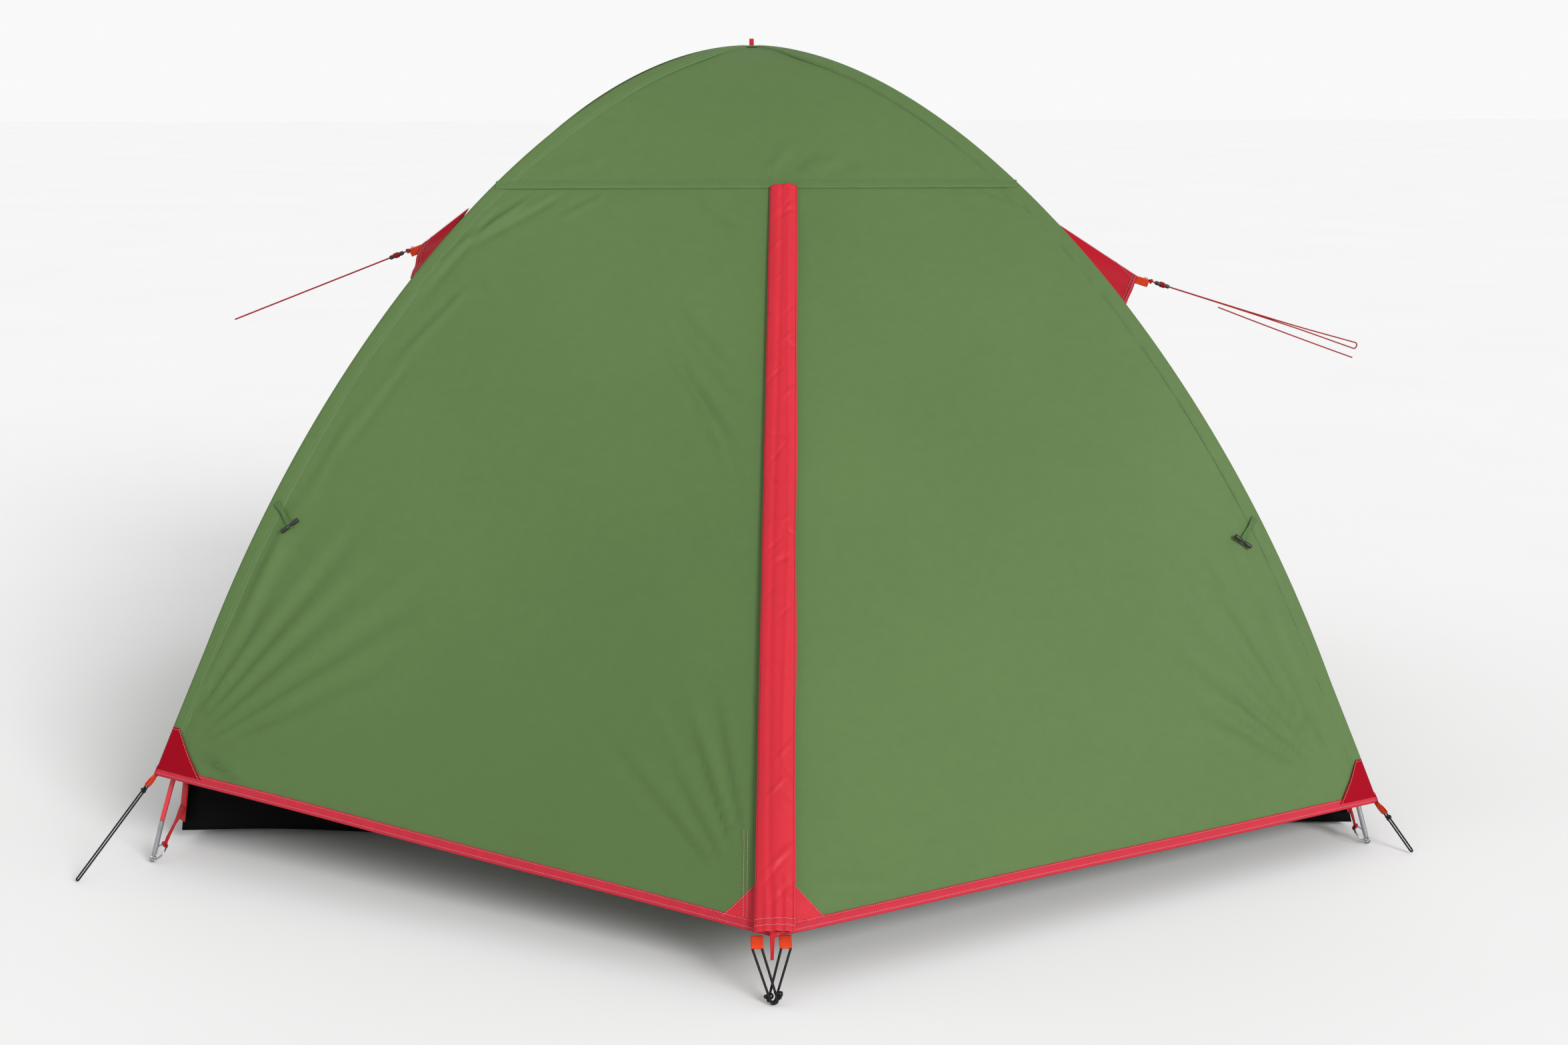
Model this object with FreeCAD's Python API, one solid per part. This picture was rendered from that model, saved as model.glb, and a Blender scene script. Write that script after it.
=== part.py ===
"""Two-door dome tent: two crossing poles, a flysheet with a porch at each door, an inner tent.

Millimetres.  +X is to the right of somebody who faces the front door, +Y goes to the rear,
+Z is up.  The origin is on the ground under the crossing of the poles.  The rear half is the
front half turned by 180 degrees about Z.
"""
import FreeCAD, Part
import math
import os

from FreeCAD import Vector

os.makedirs("parts", exist_ok=True)

# ---------------------------------------------------------------- driving dimensions
FOOT_SPACING_X = 2100.0        # pole feet, left to right
FOOT_SPACING_Y = 1500.0        # pole feet, front to rear
FOOT_LEAN = 16.4               # degrees that a pole leans in at its foot
LEAN_GAIN = 48.6               # degrees of lean gained evenly along half a pole
TOP_POWER = 6.34               # how late the last of the bend comes, near the crossing

POLE_D = 8.5
POLE_BORE = 5.2
SECTIONS = 9                   # glass-fibre sections in one pole
FERRULE_D = 9.7
FERRULE_LENGTH = 50.0
TIP_LENGTH = 75.0              # steel tube at each end of a pole
TIP_CLEAR = 15.0               # end of the tube above the ground
TIP_GAP = 0.8                  # between the steel tube and the first section
POLE_STEP = 5.0                # each pole passes this far above or below the mean curve

CLOTH = 1.6                    # thickness that stands in for a coated cloth
FLY_OFFSET = 18.0              # outer face of the flysheet, out from the pole's centre line
SEAM_HEIGHT = 1115.0           # the seam that both door leaves hang from
HEM_CORNER_LEFT = 166.0        # height of the hem at the front left corner
HEM_CORNER_RIGHT = 90.0
HEM_BAND = 18.0
PORCH_Y = 1335.0               # the middle of the front hem, out from the origin
PORCH_Z = 88.0
ZIP_TOP_X = 47.0               # the zip leans a little, because the tent is pitched by hand
ZIP_FOOT_X = -10.0
GUSSET_SHARE = 0.11            # part of the door panel's width that stays with the pole seam
LEAF_GAP = 1.0
FLAP_WIDTH = 54.0
FLAP_RISE = 12.0

INNER_OFFSET = 34.0            # inner tent, in from the pole's centre line
INNER_DEPTH_SHARE = 0.91
FLOOR_X = 990.0
FLOOR_Y = 645.0
TUB_HEIGHT = 130.0
TUB_WALL = 2.0
DOOR_SILL = 190.0              # lower edge of the inner door, above the ground
DOOR_HEAD = 960.0
DOOR_HALF_FOOT = 400.0
DOOR_HALF_HEAD = 180.0
DOOR_GAP = 2.0

HOOD_TIP_LEFT = Vector(-640.0, 0.0, 980.0)
HOOD_TIP_RIGHT = Vector(758.0, 0.0, 912.0)
HOOD_TOP = {-1: 1045.0, 1: 1040.0}         # by side, left -1 and right 1
HOOD_FOOT = {-1: 925.0, 1: 855.0}
HOOD_HALF_Y = {-1: 140.0, 1: 170.0}
VENT_LOW = 920.0
VENT_HIGH = 985.0
VENT_HALF_Y = 70.0

GUY_D = 2.6
GUY_STRANDS = 8.0              # centre to centre
GUY_END_LEFT = Vector(-1008.0, 0.0, 837.0)
GUY_END_RIGHT = Vector(1206.0, 0.0, 771.0)
TAB_LENGTH = 26.0
RUNNER = (28.0, 16.0, 8.0)     # along the line, across both strands, thick
RUNNER_HOLE_D = 3.8
RUNNER_PLACE = 55.0            # from the hood's tip to the middle of the runner

ELASTIC_D = 3.0
PEG_LOOP_D = 3.8
WEBBING = 20.0

HALF_SPAN = math.hypot(FOOT_SPACING_X, FOOT_SPACING_Y) / 2
STEPS = 400


# ---------------------------------------------------------------- the curve of a pole
def lean(u):
    """Angle from the vertical at share u of the way from the foot to the crossing."""
    last = 90.0 - FOOT_LEAN - LEAN_GAIN
    return math.radians(FOOT_LEAN + LEAN_GAIN * u + last * u ** TOP_POWER)


def pole_table():
    """Distance from the crossing and height, at even steps along half a pole."""
    across = [0.0]
    up = [0.0]
    for i in range(STEPS):
        middle = lean((i + 0.5) / STEPS)
        across.append(across[-1] + math.sin(middle) / STEPS)
        up.append(up[-1] + math.cos(middle) / STEPS)
    length = HALF_SPAN / across[-1]
    return length, [(HALF_SPAN - a * length, b * length) for a, b in zip(across, up)]


HALF_LENGTH, TABLE = pole_table()


def arch(u, offset=0.0):
    """Point of the pole's curve in its own upright plane, moved out by offset."""
    place = min(max(u, 0.0), 1.0) * STEPS
    low = min(int(place), STEPS - 1)
    share = place - low
    s = TABLE[low][0] * (1 - share) + TABLE[low + 1][0] * share
    z = TABLE[low][1] * (1 - share) + TABLE[low + 1][1] * share
    return s + offset * math.cos(lean(u)), z + offset * math.sin(lean(u))


def ridge(u, side, end, offset=0.0):
    """Point above the quarter (side, end), such as (-1, -1) for front left."""
    s, z = arch(u, offset)
    return Vector(side * s * FOOT_SPACING_X / 2 / HALF_SPAN,
                  end * s * FOOT_SPACING_Y / 2 / HALF_SPAN, z)


def share_at_height(height, offset=0.0):
    """The u at which the offset curve passes a height."""
    low = 0.0
    high = 1.0
    for _ in range(40):
        middle = (low + high) / 2
        if arch(middle, offset)[1] < height:
            low = middle
        else:
            high = middle
    return low


def between(a, b, share):
    return a * (1 - share) + b * share


def spread(low, high, longest):
    """Even values from low to high, no further apart than longest."""
    count = max(1, math.ceil((high - low) / longest))
    return [low + (high - low) * i / count for i in range(count + 1)]


def rows_along(low, high):
    """Shares along a ridge: close together near the crossing, where it bends most."""
    turn = 0.62
    if low >= turn:
        return spread(low, high, 0.055)
    if high <= turn:
        return spread(low, high, 0.10)
    return spread(low, turn, 0.10) + spread(turn, high, 0.055)[1:]


# ---------------------------------------------------------------- solids
def flat_faces(a, b, c, d):
    """One face where four points lie in a plane, or else two triangles."""
    points = [a]
    for point in (b, c, d):
        if (point - points[-1]).Length > 1e-4 and (point - points[0]).Length > 1e-4:
            points.append(point)
    if len(points) < 3:
        return []
    if len(points) == 3:
        return [Part.Face(Part.makePolygon(points + [points[0]]))]
    normal = (points[1] - points[0]).cross(points[2] - points[0]).normalize()
    if abs((points[3] - points[0]).dot(normal)) < 1e-6:
        return [Part.Face(Part.makePolygon(points + [points[0]]))]
    first = Part.Face(Part.makePolygon([points[0], points[1], points[2], points[0]]))
    second = Part.Face(Part.makePolygon([points[0], points[2], points[3], points[0]]))
    return [first, second]


def closed_solid(faces):
    shell = Part.makeShell(faces)
    shell.sewShape()
    solid = Part.makeSolid(shell)
    if solid.Volume < 0:
        solid.reverse()
    return solid


def cloth(outer, inner, left_out=()):
    """A thin solid between two grids of points, less the cells of an opening."""
    faces = []
    cells = [(i, j) for i in range(len(outer) - 1) for j in range(len(outer[0]) - 1)
             if (i, j) not in left_out]
    for i, j in cells:
        for grid in (outer, inner):
            faces += flat_faces(grid[i][j], grid[i][j + 1], grid[i + 1][j + 1], grid[i + 1][j])
        sides = (((i, j - 1), (i, j), (i + 1, j)), ((i, j + 1), (i, j + 1), (i + 1, j + 1)),
                 ((i - 1, j), (i, j), (i, j + 1)), ((i + 1, j), (i + 1, j), (i + 1, j + 1)))
        for beside, a, b in sides:
            if beside not in cells:
                faces += flat_faces(outer[a[0]][a[1]], outer[b[0]][b[1]],
                                    inner[b[0]][b[1]], inner[a[0]][a[1]])
    return closed_solid(faces)


def plate(points, rise_low, rise_high):
    """A flat or bent patch: the outline moved along its own normal by two rises."""
    normal = (points[1] - points[0]).cross(points[2] - points[0]).normalize()
    face = Part.Face(Part.makePolygon(points + [points[0]]))
    face.translate(normal * rise_low)
    return face.extrude(normal * (rise_high - rise_low))


def bar(start, end, wide_along, width, thickness):
    """A box from start to end, its width along one direction as far as that allows."""
    along = end - start
    run = Vector(along).normalize()
    thick_along = run.cross(wide_along).normalize()
    wide = thick_along.cross(run).normalize()
    corner = start - wide * (width / 2) - thick_along * (thickness / 2)
    outline = [corner, corner + wide * width, corner + wide * width + thick_along * thickness,
               corner + thick_along * thickness]
    return Part.Face(Part.makePolygon(outline + [outline[0]])).extrude(along)


def turned(shape):
    """The same piece at the rear."""
    copy = shape.copy()
    copy.rotate(Vector(0, 0, 0), Vector(0, 0, 1), 180)
    return copy


def turned_point(point):
    return Vector(-point.x, -point.y, point.z)


def save(name, *shapes):
    shape = shapes[0] if len(shapes) == 1 else Part.makeCompound(list(shapes))
    for solid in shape.Solids:
        if not solid.isValid() or solid.Volume <= 0:
            print("PROBLEM", name, solid.isValid(), round(solid.Volume, 1))
    shape.exportStep("parts/%s.step" % name)


# ---------------------------------------------------------------- cords
def tube(name, points, diameter):
    """A round cord along straight runs joined by tangent arcs."""
    runs = [points[i + 1] - points[i] for i in range(len(points) - 1)]
    edges = []
    place = points[0]
    length = 0.0
    radii = []
    for i in range(1, len(points) - 1):
        turn = runs[i - 1].getAngle(runs[i])
        shorter = min(runs[i - 1].Length, runs[i].Length)
        cut = 0.45 * shorter
        radius = cut / math.tan(turn / 2)
        radii.append(round(radius, 1))
        before = Vector(runs[i - 1]).normalize()
        after = Vector(runs[i]).normalize()
        first = points[i] - before * cut
        last = points[i] + after * cut
        inward = (after - before).normalize()
        centre = points[i] + inward * (radius / math.cos(turn / 2))
        crown = centre - inward * radius
        edges.append(Part.LineSegment(place, first).toShape())
        edges.append(Part.Arc(first, crown, last).toShape())
        length += (first - place).Length + radius * turn
        place = last
    edges.append(Part.LineSegment(place, points[-1]).toShape())
    length += (points[-1] - place).Length
    wire = Part.Wire(edges)
    profile = Part.Wire(Part.makeCircle(diameter / 2, points[0], runs[0]))
    solid = wire.makePipeShell([profile], True, False)
    expected = math.pi * diameter ** 2 / 4 * length
    print("cord", name, "length", round(length, 1), "radii", radii,
          "volume ratio", round(solid.Volume / expected, 4))
    return solid


# ---------------------------------------------------------------- poles
def pole_point(side, lift, share):
    """Point of one whole pole, counted from its front foot to its rear foot."""
    end = -1 if share <= 0.5 else 1
    u = 1 - abs(share - 0.5) * 2
    point = ridge(u, side * -end, end)
    point.z += lift * point.z / TABLE[-1][1]
    return point


def bent_tube(side, lift, section, start, end, radius, bore):
    """The stretch from start to end of a section's own arc, as a tube."""
    first, middle, last = [pole_point(side, lift, share) for share in
                           (section[0], (section[0] + section[1]) / 2, section[1])]
    circle = Part.Circle(first, middle, last)
    centre = circle.Center
    axis = circle.Axis
    tangent = axis.cross(first - centre)
    if tangent.dot(last - first) < 0:
        axis = axis * -1
        tangent = tangent * -1
    angle = math.degrees((first - centre).getAngle(last - centre))
    profile = Part.Face(Part.Wire(Part.makeCircle(radius, first, tangent)))
    profile = profile.cut(Part.Face(Part.Wire(Part.makeCircle(bore, first, tangent))))
    profile.rotate(centre, axis, angle * start)
    return profile.revolve(centre, axis, angle * (end - start))


def pole(name, side, lift):
    """One pole from its front foot to its rear foot, on the side where its front foot stands."""
    total = 2 * HALF_LENGTH
    low = TIP_LENGTH / total
    joints = [low + (1 - 2 * low) * i / SECTIONS for i in range(SECTIONS + 1)]
    sections = list(zip(joints[:-1], joints[1:]))
    tubes = [bent_tube(side, lift, section, 0.0005, 0.9995, POLE_D / 2, POLE_BORE / 2)
             for section in sections]
    cover = FERRULE_LENGTH / (total * (joints[1] - joints[0]))
    sleeves = [bent_tube(side, lift, section, 1 - cover, 0.9995, FERRULE_D / 2, POLE_D / 2 + 0.1)
               for section in sections[:-1]]
    save("%s_sections" % name, *tubes)
    save("%s_ferrules" % name, *sleeves)


def quarters():
    """Front left, front right, rear right, rear left."""
    return [(-1, -1), (1, -1), (1, 1), (-1, 1)]


def foot_axis(side, end):
    """Foot of a pole and the direction in which its steel tube rises."""
    tip_share = TIP_LENGTH / HALF_LENGTH
    foot = ridge(0.0, side, end)
    top = ridge(tip_share, side, end)
    return foot, (top - foot).normalize(), (top - foot).Length


def pole_tips():
    solids = []
    for side, end in quarters():
        foot, up, length = foot_axis(side, end)
        start = foot + up * TIP_CLEAR
        reach = length - TIP_CLEAR - TIP_GAP
        outer = Part.makeCylinder(POLE_D / 2, reach, start, up)
        bore = Part.makeCylinder(POLE_BORE / 2, reach, start, up)
        solids.append(outer.cut(bore))
    save("pole_tips", *solids)


PIN_D = 4.4
PIN_LENGTH = 45.0
EYE_R = 5.0
WIRE_D = 3.0
RING_R = 15.0


def ring_pins():
    """Pin that stands in the end of a pole, the eye under it, and the ring through the eye."""
    solids = []
    for side, end in quarters():
        foot, up, _ = foot_axis(side, end)
        eye = foot + up * (WIRE_D / 2 + EYE_R + 0.5)
        base = eye + up * EYE_R
        sideways = up.cross(Vector(0, 0, 1)).normalize()
        pin = Part.makeCylinder(PIN_D / 2, PIN_LENGTH, base, up)
        loop = Part.makeTorus(EYE_R, WIRE_D / 2, eye, sideways)
        centre, axis, _ = ring_frame(side, end)
        solids += [pin.fuse(loop), Part.makeTorus(RING_R, WIRE_D / 2, centre, axis)]
    save("ring_pins", *solids)


def ring_frame(side, end):
    """Centre and axis of the ring through a pin's eye."""
    foot, up, _ = foot_axis(side, end)
    eye = foot + up * (WIRE_D / 2 + EYE_R + 0.5)
    sideways = up.cross(Vector(0, 0, 1)).normalize()
    inward = Vector(-side * FOOT_SPACING_X, -end * FOOT_SPACING_Y, 0).normalize()
    reach = (inward + Vector(0, 0, 0.9)).normalize()
    centre = eye + reach * RING_R
    return centre, sideways.cross(reach).normalize(), reach


def corner_straps():
    """Webbing from each ring to the corner of the groundsheet."""
    solids = []
    for side, end in quarters():
        centre, axis, reach = ring_frame(side, end)
        far = centre + reach * RING_R
        sideways = axis.cross(reach).normalize()
        sleeve = Part.makeCylinder(4.2, 9.0, far - sideways * 4.5, sideways)
        sleeve = sleeve.cut(Part.makeCylinder(3.0, 9.0, far - sideways * 4.5, sideways))
        corner = Vector(side * (FLOOR_X + 1.5), end * (FLOOR_Y + 1.5), 60.0)
        run = (corner - far).normalize()
        tail = bar(far + run * 3.6, corner, sideways, 9.0, 2.0)
        patch = bar(corner + Vector(0, 0, -34), corner + Vector(0, 0, 40), sideways, 22.0, 2.0)
        solids.append(sleeve.fuse([tail, patch]))
    save("corner_straps", *solids)


# ---------------------------------------------------------------- flysheet
HEM_LEFT = share_at_height(HEM_CORNER_LEFT, FLY_OFFSET)
HEM_RIGHT = share_at_height(HEM_CORNER_RIGHT, FLY_OFFSET)
SEAM = share_at_height(SEAM_HEIGHT, FLY_OFFSET)
CROWN = 0.985
BAND_SHARE = HEM_BAND / HALF_LENGTH
SEAM_Y = ridge(SEAM, -1, -1, FLY_OFFSET).y
ZIP_TOP = Vector(ZIP_TOP_X, SEAM_Y, SEAM_HEIGHT)
ZIP_FOOT = Vector(ZIP_FOOT_X, -PORCH_Y, PORCH_Z)
ZIP_RUN = (ZIP_TOP - ZIP_FOOT).normalize()
ZIP_OUT = Vector(1, 0, 0).cross(ZIP_RUN).normalize()


def panel(left_shares, right_shares, left_quarter, right_quarter, columns=(0.0, 1.0), left_out=()):
    """Cloth ruled between two ridges."""
    grids = []
    for offset in (FLY_OFFSET, FLY_OFFSET - CLOTH):
        grid = []
        for a, b in zip(left_shares, right_shares):
            left = ridge(a, left_quarter[0], left_quarter[1], offset)
            right = ridge(b, right_quarter[0], right_quarter[1], offset)
            grid.append([between(left, right, c) for c in columns])
        grids.append(grid)
    return cloth(grids[0], grids[1], left_out)


def matched(shares, low, high, other_low, other_high):
    """The same steps between two other ends."""
    return [other_low + (s - low) * (other_high - other_low) / (high - low) for s in shares]


def roof():
    shares = rows_along(SEAM, CROWN)
    front = panel(shares, shares, (-1, -1), (1, -1))
    save("fly_roof_front", front)
    save("fly_roof_rear", turned(front))


def side_rows(low_share, high_share):
    """Ridge shares for both ends of the left side between two shares of its height."""
    front = [HEM_LEFT + (CROWN - HEM_LEFT) * s for s in (low_share, high_share)]
    rear = [HEM_RIGHT + (CROWN - HEM_RIGHT) * s for s in (low_share, high_share)]
    shares = rows_along(front[0], front[1])
    return shares, matched(shares, front[0], front[1], rear[0], rear[1])


def side_wall():
    """Left side with its vent opening, and the hem band below it."""
    low = (share_at_height(VENT_LOW, FLY_OFFSET) - HEM_LEFT) / (CROWN - HEM_LEFT)
    high = (share_at_height(VENT_HIGH, FLY_OFFSET) - HEM_LEFT) / (CROWN - HEM_LEFT)
    band = HEM_BAND / (HALF_LENGTH * (CROWN - HEM_LEFT))
    vent_width = abs(ridge(share_at_height(VENT_LOW, FLY_OFFSET), -1, -1, FLY_OFFSET).y) * 2
    edge = 0.5 - VENT_HALF_Y / vent_width
    front = []
    rear = []
    cuts = []
    for low_share, high_share in ((band, low), (low, high), (high, 1.0)):
        shares, other_shares = side_rows(low_share, high_share)
        front = front[:-1] + shares
        rear = rear[:-1] + other_shares
        cuts.append(len(front) - 1)
    opening = [(row, 1) for row in range(cuts[0], cuts[1])]
    wall = panel(front, rear, (-1, -1), (-1, 1), (0.0, edge, 1 - edge, 1.0), opening)
    save("fly_side_left", wall)
    save("fly_side_right", turned(wall))
    front, rear = side_rows(0.0, band)
    hem = panel(front, rear, (-1, -1), (-1, 1))
    save("side_bindings", hem, turned(hem))
    front, rear = side_rows(low + 0.002, high - 0.002)
    gap = 0.004
    mesh = panel(front, rear, (-1, -1), (-1, 1), (edge + gap, 1 - edge - gap))
    save("vent_meshes", mesh, turned(mesh))


def front_point(side, t, v, inner=False):
    """Point of a front door panel: t up from the hem, v across from the pole to the zip."""
    hem = HEM_LEFT if side < 0 else HEM_RIGHT
    offset = FLY_OFFSET - CLOTH if inner else FLY_OFFSET
    pole_side = ridge(hem + (SEAM - hem) * t, side, -1, offset)
    zip_side = between(ZIP_FOOT, ZIP_TOP, t)
    if inner:
        zip_side = zip_side - ZIP_OUT * CLOTH
    return between(pole_side, zip_side, v)


def front_grid(side, heights, columns):
    outer = [[front_point(side, t, v) for v in columns] for t in heights]
    inner = [[front_point(side, t, v, True) for v in columns] for t in heights]
    return cloth(outer, inner)


def band_share(side):
    hem = HEM_LEFT if side < 0 else HEM_RIGHT
    return HEM_BAND / (HALF_LENGTH * (SEAM - hem))


def door_heights(low, high):
    return spread(low, high, 0.11)


def gussets():
    """Strips that stay with the pole seam, outside each door leaf."""
    solids = []
    for side in (-1, 1):
        solid = front_grid(side, door_heights(0.0, 0.999), (0.0, GUSSET_SHARE))
        solids += [solid, turned(solid)]
    save("fly_gussets", *solids)


def leaf_parts(side, word):
    """One front door leaf, its trim and its peg tab, and the same at the rear."""
    width_foot = (front_point(side, 0, 0) - front_point(side, 0, 1)).Length
    first = GUSSET_SHARE + LEAF_GAP / width_foot
    last = 1 - LEAF_GAP / 2 / width_foot
    columns = [first, (first + last) / 2, last]
    top = 1 - 1.2 / (ZIP_TOP - ZIP_FOOT).Length
    low = band_share(side)
    leaf = front_grid(side, door_heights(low, top), columns)
    other = {"left": "right", "right": "left"}[word]
    save("door_front_%s" % word, leaf)
    save("door_rear_%s" % other, turned(leaf))
    hem = front_grid(side, [0.0, low], columns)
    reach = 85.0
    beside = last - 9.5 / width_foot
    tall = low + reach / (ZIP_TOP - ZIP_FOOT).Length
    patch_points = [front_point(side, low, beside), front_point(side, tall, beside),
                    front_point(side, low, last - reach / width_foot)]
    if side > 0:
        patch_points.reverse()
    patch = plate(patch_points, 0.4, 1.4)
    save("door_trim_front_%s" % word, hem, patch)
    save("door_trim_rear_%s" % other, turned(hem), turned(patch))
    centre = front_point(side, 0.0, 1.0) + Vector(TAB_PLACE[side], 0, 0)
    start = centre + ZIP_RUN * -0.6
    tab = bar(start, start + Vector(0, -20.0, -8.0), Vector(1, 0, 0), WEBBING - 1.5, 1.8)
    save("peg_tab_front_%s" % word, tab)
    save("peg_tab_rear_%s" % other, turned(tab))
    return hinge_line(side)


TAB_PLACE = {-1: -26.0, 1: 16.0}


def hinge_line(side):
    """Straight line that a leaf turns about: along its fixed edge, through the edge's crown."""
    edge = [front_point(side, i / 40, GUSSET_SHARE) for i in range(41)]
    along = (edge[-1] - edge[0]).normalize()
    crown = max(edge, key=lambda p: ((p - edge[0]) - along * (p - edge[0]).dot(along)).Length)
    return crown, along


def zip_and_flap():
    low = 12.0
    start = ZIP_FOOT + ZIP_RUN * low + ZIP_OUT * 1.6 - Vector(4.5, 0, 0)
    end = ZIP_TOP - ZIP_RUN * 6.0 + ZIP_OUT * 1.6 - Vector(4.5, 0, 0)
    coil = bar(start, end, Vector(1, 0, 0), 7.0, 2.4)
    save("zip_front", coil)
    save("zip_rear", turned(coil))
    offsets = (-FLAP_WIDTH / 2, -18.0, 0.0, 18.0, FLAP_WIDTH / 2)
    rises = (3.6, FLAP_RISE - 3.0, FLAP_RISE, FLAP_RISE - 3.0, 4.4)
    outer = []
    inner = []
    for t in (0.014, 0.995):
        outer_row = []
        inner_row = []
        for offset, rise in zip(offsets, rises):
            spot = between(ZIP_FOOT, ZIP_TOP, t) + Vector(offset, 0, 0)
            if abs(offset) == FLAP_WIDTH / 2:
                side = -1 if offset < 0 else 1
                width = abs(front_point(side, t, 0).x - front_point(side, t, 1).x)
                spot = front_point(side, t, 1 - abs(offset) / width)
            outer_row.append(spot + ZIP_OUT * rise)
            inner_row.append(spot + ZIP_OUT * (rise - 1.2))
        outer.append(outer_row)
        inner.append(inner_row)
    flap = cloth(outer, inner)
    save("storm_flap_front", flap)
    save("storm_flap_rear", turned(flap))
    return outer[0][0], (outer[1][0] - outer[0][0]).normalize()


def sliders():
    """Zip slider at the bottom of its run, with its pull tape pointing down the slope."""
    middle = ZIP_FOOT + ZIP_RUN * 24.0 - Vector(3.0, 0, 0)
    low = middle + ZIP_OUT * 3.2
    block = bar(low - ZIP_RUN * 6.0 + ZIP_OUT * 2.2, low + ZIP_RUN * 6.0 + ZIP_OUT * 2.2,
                Vector(1, 0, 0), 9.0, 4.4)
    start = low - ZIP_RUN * 5.0 + ZIP_OUT * 4.9
    tape = bar(start, start - ZIP_RUN * 58.0, Vector(1, 0, 0), 6.5, 1.2)
    slider = block.fuse(tape)
    save("zip_slider_front", slider)
    save("zip_slider_rear", turned(slider))


def corner_pieces():
    """Red patches on both sides of each pole seam at the hem, and the orange peg tabs."""
    patches = []
    tabs = []
    for side, hem in ((-1, HEM_LEFT), (1, HEM_RIGHT)):
        tall = 84.0 / HALF_LENGTH
        wide = 62.0 / (front_point(side, 0, 0) - front_point(side, 0, 1)).Length
        low = band_share(side)
        points = [front_point(side, low, 0.004), front_point(side, tall / (SEAM - hem), 0.004),
                  front_point(side, low, wide)]
        if side < 0:
            points.reverse()
        patch = plate(points, 0.4, 1.4)
        patches += [patch, turned(patch)]
        corner = ridge(hem, side, -1, FLY_OFFSET)
        out = Vector(side * 0.62, -0.28, -0.73).normalize()
        start = corner + out * 2.5 + Vector(-side * 1.5, 1.0, 0)
        tab = bar(start, start + out * 19.0, Vector(side * 0.4, -0.9, 0), WEBBING - 2, 2.0)
        tabs += [tab, turned(tab)]
    save("corner_patches", *patches)
    save("corner_tabs", *tabs)


def apex_loop():
    """Reinforced crown patch, and the tape loop that stands on it."""
    top = ridge(CROWN, -1, -1, FLY_OFFSET).z
    patch = Part.makeBox(56.0, 42.0, 1.4, Vector(-28.0, -21.0, top + 0.8))
    outer = Part.makeCylinder(5.5, 8.0, Vector(0, -4.0, top + 8.4), Vector(0, 1, 0))
    outer = outer.fuse(Part.makeBox(11.0, 8.0, 6.2, Vector(-5.5, -4.0, top + 2.2)))
    bore = Part.makeCylinder(4.3, 8.0, Vector(0, -4.0, top + 8.4), Vector(0, 1, 0))
    bore = bore.fuse(Part.makeBox(8.6, 8.0, 4.8, Vector(-4.3, -4.0, top + 3.6)))
    save("apex_loop", patch.fuse(outer.cut(bore)))


# ---------------------------------------------------------------- vent hoods and guy lines
def side_surface(side, y, height):
    """Point of a side wall's outer face."""
    return Vector(ridge(share_at_height(height, FLY_OFFSET), side, -1, FLY_OFFSET).x, y, height)


def hood(side, tip):
    """A beak of two cloth triangles over the vent, pulled out by the guy line."""
    lift = Vector(side * 7.0, 0, 5.0)
    top = side_surface(side, 0, HOOD_TOP[side]) + lift
    solids = []
    thickness = Vector(side * 0.75, 0, 0.65) * CLOTH
    for end in (-1, 1):
        foot = side_surface(side, end * HOOD_HALF_Y[side], HOOD_FOOT[side]) + lift
        outer = [[top + thickness, top + thickness], [tip + thickness, foot + thickness]]
        inner = [[top, top], [tip, foot]]
        solids.append(cloth(outer, inner))
    return solids[0].fuse(solids[1])


def guy_frame(tip, end):
    """Along the guy line, across its two strands, and square to both."""
    run = (end - tip).normalize()
    across = Vector(0, 1, 0)
    return run, across, run.cross(across).normalize()


def hood_tab(tip, end):
    """Folded webbing sewn to the hood's tip, with an eye for the line."""
    run, across, normal = guy_frame(tip, end)
    start = tip + run * 3.0
    tab = bar(start, start + run * TAB_LENGTH, across, 16.0, 2.4)
    eye = tip + run * (TAB_LENGTH - 5.0)
    hole = Part.makeCylinder(2.6, 8.0, eye - normal * 4.0, normal)
    return tab.cut(hole)


def runner(tip, end):
    """Line tensioner with a hole for each strand."""
    run, across = guy_frame(tip, end)[:2]
    middle = tip + run * RUNNER_PLACE
    block = bar(middle - run * (RUNNER[0] / 2), middle + run * (RUNNER[0] / 2), across,
                RUNNER[1], RUNNER[2])
    for sign in (-1, 1):
        start = middle - run * RUNNER[0] + across * (sign * GUY_STRANDS / 2)
        block = block.cut(Part.makeCylinder(RUNNER_HOLE_D / 2, 2 * RUNNER[0], start, run))
    return block


def guy_line(name, tip, end):
    """From the hood's tab through the runner, round the peg's place and back to the runner."""
    run, across = guy_frame(tip, end)[:2]
    half = across * (GUY_STRANDS / 2)
    points = [tip + run * (TAB_LENGTH + 5.5) - half, end - half, end + half,
              tip + run * (RUNNER_PLACE - RUNNER[0] / 2 - 6.0) + half]
    save(name, tube(name, points, GUY_D))


def vents_and_guys():
    sides = ((-1, "left", HOOD_TIP_LEFT, GUY_END_LEFT), (1, "right", HOOD_TIP_RIGHT, GUY_END_RIGHT))
    tabs = []
    for side, word, tip, end in sides:
        save("vent_hood_%s" % word, hood(side, tip))
        tabs.append(hood_tab(tip, end))
        save("guy_runner_%s" % word, runner(tip, end))
        guy_line("guy_line_%s" % word, tip, end)
    save("hood_tabs", *tabs)


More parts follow.
